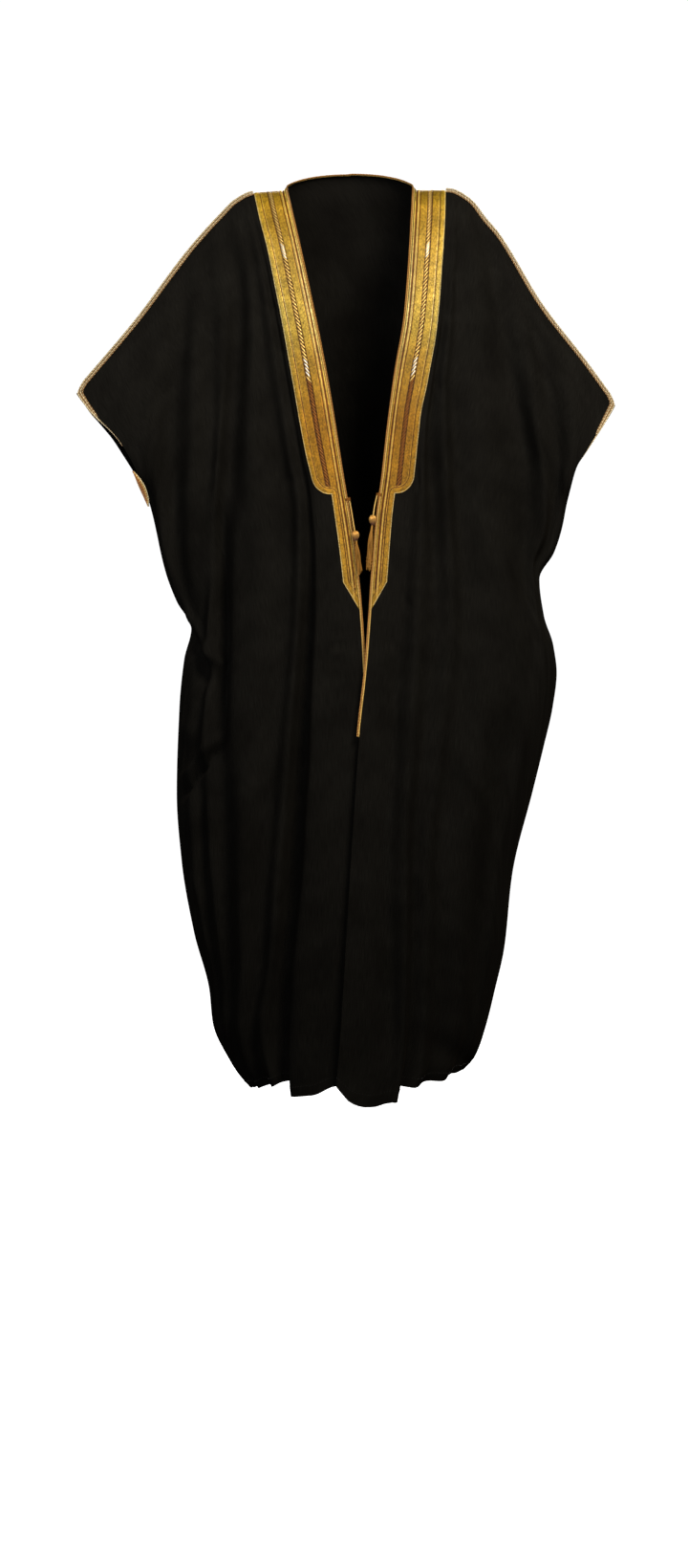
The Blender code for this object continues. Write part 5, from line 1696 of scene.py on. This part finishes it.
# %% The hand openings
# A thin pair of cords goes right round each, behind its edges once they roll under.
BACKWARD = np.array([0.0, 1.0, 0.0])
cuff_cords = {}
BACK_EDGE = {"right": (0, 1), "left": (-1, -2)}
cuff_rows = rows <= CUFF_END
for side in OUTWARD:
    parts = []
    for grid, out, edge_column, inside in (
            (*GRIDS[side][1:], -1, -2), (*GRIDS["back"][1:], *BACK_EDGE[side])):
        edge, facings = grid[cuff_rows, edge_column], out[cuff_rows, edge_column]
        away = off_edge(edge, facings, grid[cuff_rows, inside])
        under = ease(rows[cuff_rows] / TURNED_FROM[side])[:, None]
        edge = edge - facings * CLOTH / 2 + (BACKWARD - away) * TURNED_UNDER * under
        parts.append((edge, away * (1 - under), facings))
    (front_edge, front_away, front_out), (back_edge, back_away, back_out) = parts
    facings = np.vstack([front_out, back_out[-2:0:-1]])
    rings = []
    for tone, reach in CORD_PAIR:
        front_run = front_edge + front_away * reach
        back_run = back_edge + back_away * reach
        top = (front_run[0] + back_run[0]) / 2
        foot = (front_run[-1] + back_run[-1]) / 2
        ring = np.vstack([[top], front_run[1:-1], [foot], back_run[-2:0:-1]])
        rings.append(Path(ring, facings, tone, True))
    cuff_cords[side] = wound_cords(f"cuff_cord_pair_{side}", rings, seam_thread)

# %% A leaf of the gold facing
# Low on the right opening the facing has rolled out, and shows as a small leaf: rows
# of gilt cord between two pale ones.  The stations are shares of the length, and the
# distances are in mm past the cloth's edge.
LEAF_ROWS = np.linspace(0.114, 0.163, 15)
LEAF_STATIONS = [0.114, 0.125, 0.143, 0.152, 0.163]
LEAF_OUTER = [4.0, 5.0, 7.0, 7.5, 7.0]
LEAF_INNER = [4.0, -1.5, -7.0, -7.0, 2.0]
LEAF_LIFT = 2.2 * MM
LEAF_TONES = [0.0, 0.8, 1.0, 0.9, 0.6, 0.15, 0.0]      # from the outer row inwards


def along_line(at, marks, points):
    """Points of a line, read where its marks reach `at`."""
    return np.stack([np.interp(at, marks, axis) for axis in points.T], axis=-1)


c, grid, out = GRIDS["right"]
edge, leaf_out, inside = [along_line(LEAF_ROWS, rows, line)
                          for line in (grid[:, -1], out[:, -1], grid[:, -2])]
away = off_edge(edge, leaf_out, inside)
outer, inner = [smooth(LEAF_STATIONS, reach, LEAF_ROWS)[0][:, None] * MM
                for reach in (LEAF_OUTER, LEAF_INNER)]
leaf_paths = []
for share, tone in zip(np.linspace(0, 1, len(LEAF_TONES)), LEAF_TONES):
    lift = LEAF_LIFT + np.sin(np.pi * share) * MM
    line = edge + away * blend(outer, inner, share) + leaf_out * lift
    leaf_paths.append(Path(line, leaf_out, tone))
leaf_border = wound_cords("facing_leaf_border", [leaf_paths[0], leaf_paths[-1]],
                          seam_thread)
leaf_rows = wound_cords("facing_leaf_rows", leaf_paths[1:-1], edge_thread)

# %% Hem stitches
HEM_SPACING = 4.5 * MM
HEM_STITCH = (2.6 * MM, 0.6 * MM, 0.5 * MM)     # length, width and height
HEM_LIE = 0.1 * MM       # over the cloth
at = np.searchsorted(rows, HEM_START) + 1
for piece, (c, grid, out) in GRIDS.items():
    name = f"hem_stitches_{piece}"
    stitching[name] = grow(
        name, stitch_tree, [Path(grid[at] + out[at] * HEM_LIE, out[at])], black_thread,
        Spacing=HEM_SPACING, Size=HEM_STITCH, Slant=0.35, Wander=0.15, Seed=9)

# %% [markdown]
# ## The ties
#
# Each front has a tie: a short cord, an oval knot worked over in gold thread, and
# loose strands below it.  The cord is free and limp, and its real length is
# printed.  The strands are drawn one by one as paths and grown with the same tree
# as the cords, with a single strand.

# %% Where the ties hang
# Each place, in mm: below the origin, into the front opening, and forward.
TIE_CORDS = {
    "right": [(501, 4.2, 0), (511, 4.4, 1.2), (523, 4.4, 3.8), (535, 4.3, 6.3),
              (547.6, 4.3, 7.6)],
    "left": [(489, 4.2, 0), (498, 4.9, 1.4), (507, 5.6, 3.6), (516, 6.0, 5.8),
             (523.6, 6.2, 6.6)],
}
KNOTS = {"right": (555.5, 4.3, 7.6), "left": (531.5, 6.2, 6.6)}
TASSELS = {
    "right": [(563.4, 4.3, 7.6), (569, 4.2, 7.6), (583, 4.1, 7.5), (599, 4.0, 7.3),
              (616, 4.0, 7.0)],
    "left": [(539.4, 6.2, 6.6), (545, 6.4, 6.6), (561, 6.6, 6.6), (583, 6.6, 6.6),
             (611, 6.0, 6.4)],
}
EDGE_CORD_MIDDLE = 2.8 * MM      # between the two cords of the bound edge
TIE_RADIUS = 1.3 * MM
TIE_LAY = 0.6 * MM               # from a cord's middle to a strand's
TIE_PITCH = 5.0 * MM
STRAND_RADIUS = 0.42 * MM        # a loose strand


def hang_point(side, place):
    """A point beside and before the bound edge."""
    edge, _, away = runs[side]
    drop, aside, forward = place
    line = edge + away * EDGE_CORD_MIDDLE
    return (along_line(drop * MM, -line[:, 2], line)
            - np.array([OUTWARD[side] * aside, forward, 0]) * MM)


def smooth_route(side, places, count):
    """Points evenly spread on a smooth curve through places."""
    route = np.array([hang_point(side, place) for place in places])
    reach = lengths_along(route)
    return smooth(reach, route.T, np.tile(np.linspace(0, reach[-1], count), (3, 1))).T


def tie_path(line, tone=0.0):
    """A path that faces the front all along."""
    return Path(line, np.tile([0.0, -1.0, 0.0], (len(line), 1)), tone)


def strands(name, lines, radius, finish, tone=None):
    """Plain thin strands along lines of points, of mixed tones or all of one."""
    return grow(name, cord_tree,
                [tie_path(line, 0.3 * (k % 3) if tone is None else tone)
                 for k, line in enumerate(lines)], finish, Step=1.0 * MM, Strands=1,
                Lay=0.0, Pitch=TIE_PITCH, Strand_Radius=radius, Sides=5)


print("a tie's start:", hang_point("right", TIE_CORDS["right"][0]))

# %% The two cords
# Each cord runs on through its knot, as the core of the strands.
CORE_PLACES = 3
ROUTE_POINTS = 60
tie_routes = {
    side: smooth_route(side, [*places, KNOTS[side], *TASSELS[side][:CORE_PLACES]],
                       ROUTE_POINTS)
    for side, places in TIE_CORDS.items()}
tie_cords = {}
for side, route in tie_routes.items():
    tie_cords[side] = grow(
        f"tie_cord_wound_{side}", cord_tree, [tie_path(route)], edge_thread,
        Step=0.8 * MM, Strands=2, Lay=TIE_LAY, Pitch=TIE_PITCH,
        Strand_Radius=TIE_RADIUS - TIE_LAY, Sides=7)
    print(side, "tie:", round(lengths_along(route)[-1] / MM, 1), "mm")

# %% Each cord is bound to the edge with a few turns of thread
BINDING_TURNS = 5
BINDING_PITCH = 0.9 * MM
BINDING_OFF = 4.6 * MM       # from the edge to the middle of the turns
BINDING_REACH = 4.2 * MM     # from there to their sides,
BINDING_RISE = 2.1 * MM      # and to their front
bindings = {}
for side, route in tie_routes.items():
    edge, out, away = runs[side]
    at = int(np.argmin(np.abs(edge[:, 2] - route[1][2])))
    down = unit(edge[at + 1] - edge[at - 1])
    turn = np.linspace(0, FULL_TURN * BINDING_TURNS, 24 * BINDING_TURNS)[:, None]
    coil = (edge[at] + away[at] * (BINDING_OFF + np.cos(turn) * BINDING_REACH)
            + out[at] * np.sin(turn) * BINDING_RISE
            + down * (turn / FULL_TURN - BINDING_TURNS / 2) * BINDING_PITCH)
    bindings[side] = strands(f"tie_binding_{side}", [coil], STRAND_RADIUS, brown_thread)

# %% [markdown]
# The knot is worked in threads laid over an oval from top to bottom, each a
# little turned, so they close at its crown and again at its foot.

# %% The knots
KNOT_WIDTH = 13.0 * MM
KNOT_LENGTH = 16.4 * MM
KNOT_THREADS = 20
KNOT_TWIST = 1.1             # radians that a thread turns from top to foot
THREAD_RADIUS = 0.85 * MM


def knot_profile(t):
    """Radius of the knot from its top (0) to its foot (1): fullest above the middle."""
    return np.sin(np.pi * t ** 0.85) ** 0.62 * (1 - 0.22 * t)


knots = {}
for side, place in KNOTS.items():
    centre = hang_point(side, place)
    t = np.linspace(0.02, 0.98, 26)
    radius = knot_profile(t) * (KNOT_WIDTH / 2 - THREAD_RADIUS * 0.8)
    height = (0.5 - t) * (KNOT_LENGTH - THREAD_RADIUS)
    turns = [FULL_TURN * k / KNOT_THREADS + KNOT_TWIST * t for k in range(KNOT_THREADS)]
    lines = [centre + np.column_stack([radius * np.cos(turn), radius * np.sin(turn),
                                       height]) for turn in turns]
    # Painted shade: the thread's colour darkens from the knot's lit top towards its foot.
    knots[side] = strands(f"tie_knot_{side}", lines, THREAD_RADIUS, knot_thread_painted_shade,
                          tone=ease(t * 1.15))

# %% [markdown]
# The loose strands leave the knot together, bound by a neck of thread, and then
# part.  They are of uneven length, and on the wearer's right one is left as a
# loop, while on the left they end in a tangle.

# %% The strands
STRANDS = 26
STRAND_POINTS = 40
GOLDEN_TURN = 0.382          # each strand starts this share of a turn past the last
NECK_POINT = 3               # the neck of thread starts at this point of the route
NECK_TURNS = 4
NECK_RADIUS = 1.9 * MM
NECK_PITCH = 0.8 * MM
dice = np.random.default_rng(11)
tassels = {}
for side, places in TASSELS.items():
    route = smooth_route(side, places, STRAND_POINTS)
    t = np.linspace(0, 1, STRAND_POINTS)
    lines = []
    for k in range(STRANDS):
        turn = FULL_TURN * k * GOLDEN_TURN + dice.uniform(-0.2, 0.2)
        ring = np.sqrt((k + 0.5) / STRANDS)
        spread = blend(1.3, 1.2 + 2.2 * ring, ease(t / 0.4)) * MM
        wave = 0.5 * MM * np.sin(FULL_TURN * (t * dice.uniform(1.2, 2.4) + k * 0.17)) * t
        length = int(STRAND_POINTS * dice.uniform(0.82, 1.0))
        line = route + np.column_stack([np.cos(turn) * spread + wave,
                                        np.sin(turn) * spread + wave / 2, 0 * t])
        lines.append(line[:length])
    neck = np.linspace(0, FULL_TURN * NECK_TURNS, 20 * NECK_TURNS)
    lines.append(route[NECK_POINT] + np.column_stack([
        np.cos(neck) * NECK_RADIUS, np.sin(neck) * NECK_RADIUS,
        -neck / FULL_TURN * NECK_PITCH]))
    if side == "right":
        loop = [(567, 3.0, 8.4), (586, 0.6, 9.4), (607, -3.0, 9.2), (626, -6.6, 8.2),
                (635, -6.8, 7.8), (628, -4.2, 8.0), (609, 1.0, 9.4), (591, 3.0, 9.8)]
        lines.append(smooth_route(side, loop, ROUTE_POINTS))
    else:
        s = np.linspace(0, 1, 150)
        middle = hang_point(side, (592, 6.2, 6.4))
        around = FULL_TURN * 8.3 * s
        reach = (4.2 + 1.1 * np.sin(FULL_TURN * 3.4 * s)) * np.sin(np.pi * s) ** 0.4
        lines.append(middle + np.column_stack([
            reach * np.cos(around), reach * np.sin(around),
            19 * (0.5 - s) + 2.2 * np.sin(FULL_TURN * 5.1 * s)]) * MM)
    tassels[side] = strands(f"tie_strands_{side}", lines, STRAND_RADIUS, strand_thread)

# %% [markdown]
# ## Joining the pieces to the cloak
#
# The cloak has no joints, so every piece rides on its one body.  Each dressed
# piece stands for the plain solid it was built on, which stays for collision.

# %% Bodies and solids
dressed = []


def dress(piece, slot, *nodes):
    """Let a piece ride on the cloak, in place of the solids that it stands for."""
    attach(piece, "root")
    if nodes:
        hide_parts(*nodes)
    dressed.append(piece.name)


for piece, shell in panels.items():
    dress(shell, "cloth", PANEL_NODES[piece])
dress(neck_shell, "zari_band", "neck_band")
dress(edge_cord, "zari_cord", "edge_cord")
dress(leaf_border, "zari_cord")
dress(leaf_rows, "zari_cord")
for side in OUTWARD:
    dress(band_shells[side], "zari_band", f"front_band_{side}")
    for made, node_name in ((shoulder_cords, "shoulder_cord"), (cuff_cords, "cuff_cord"),
                            (tie_cords, "tie_cord"), (knots, "tie_bead"),
                            (tassels, "tie_tassel")):
        dress(made[side], "zari_cord", f"{node_name}_{side}")
    dress(bindings[side], "zari_cord")
for name, sewn_row in stitching.items():
    dress(sewn_row, "cloth" if name.startswith("hem") else "zari_cord")
print("pieces:", len(dressed))

for piece, shell in panels.items():
    sewn_on = [stitching[f"hem_stitches_{piece}"]]
    if piece == "back":
        sewn_on += [neck_shell]
    else:
        sewn_on += [band_shells[piece], shoulder_cords[piece], cuff_cords[piece]]
        sewn_on += [leaf_border, leaf_rows] if piece == "right" else []
        sewn_on += [made for name, made in stitching.items()
                    if name.endswith(piece) and not name.startswith("hem")]
    print(piece, "sheet:", len(sewn_on), "pieces sewn on")
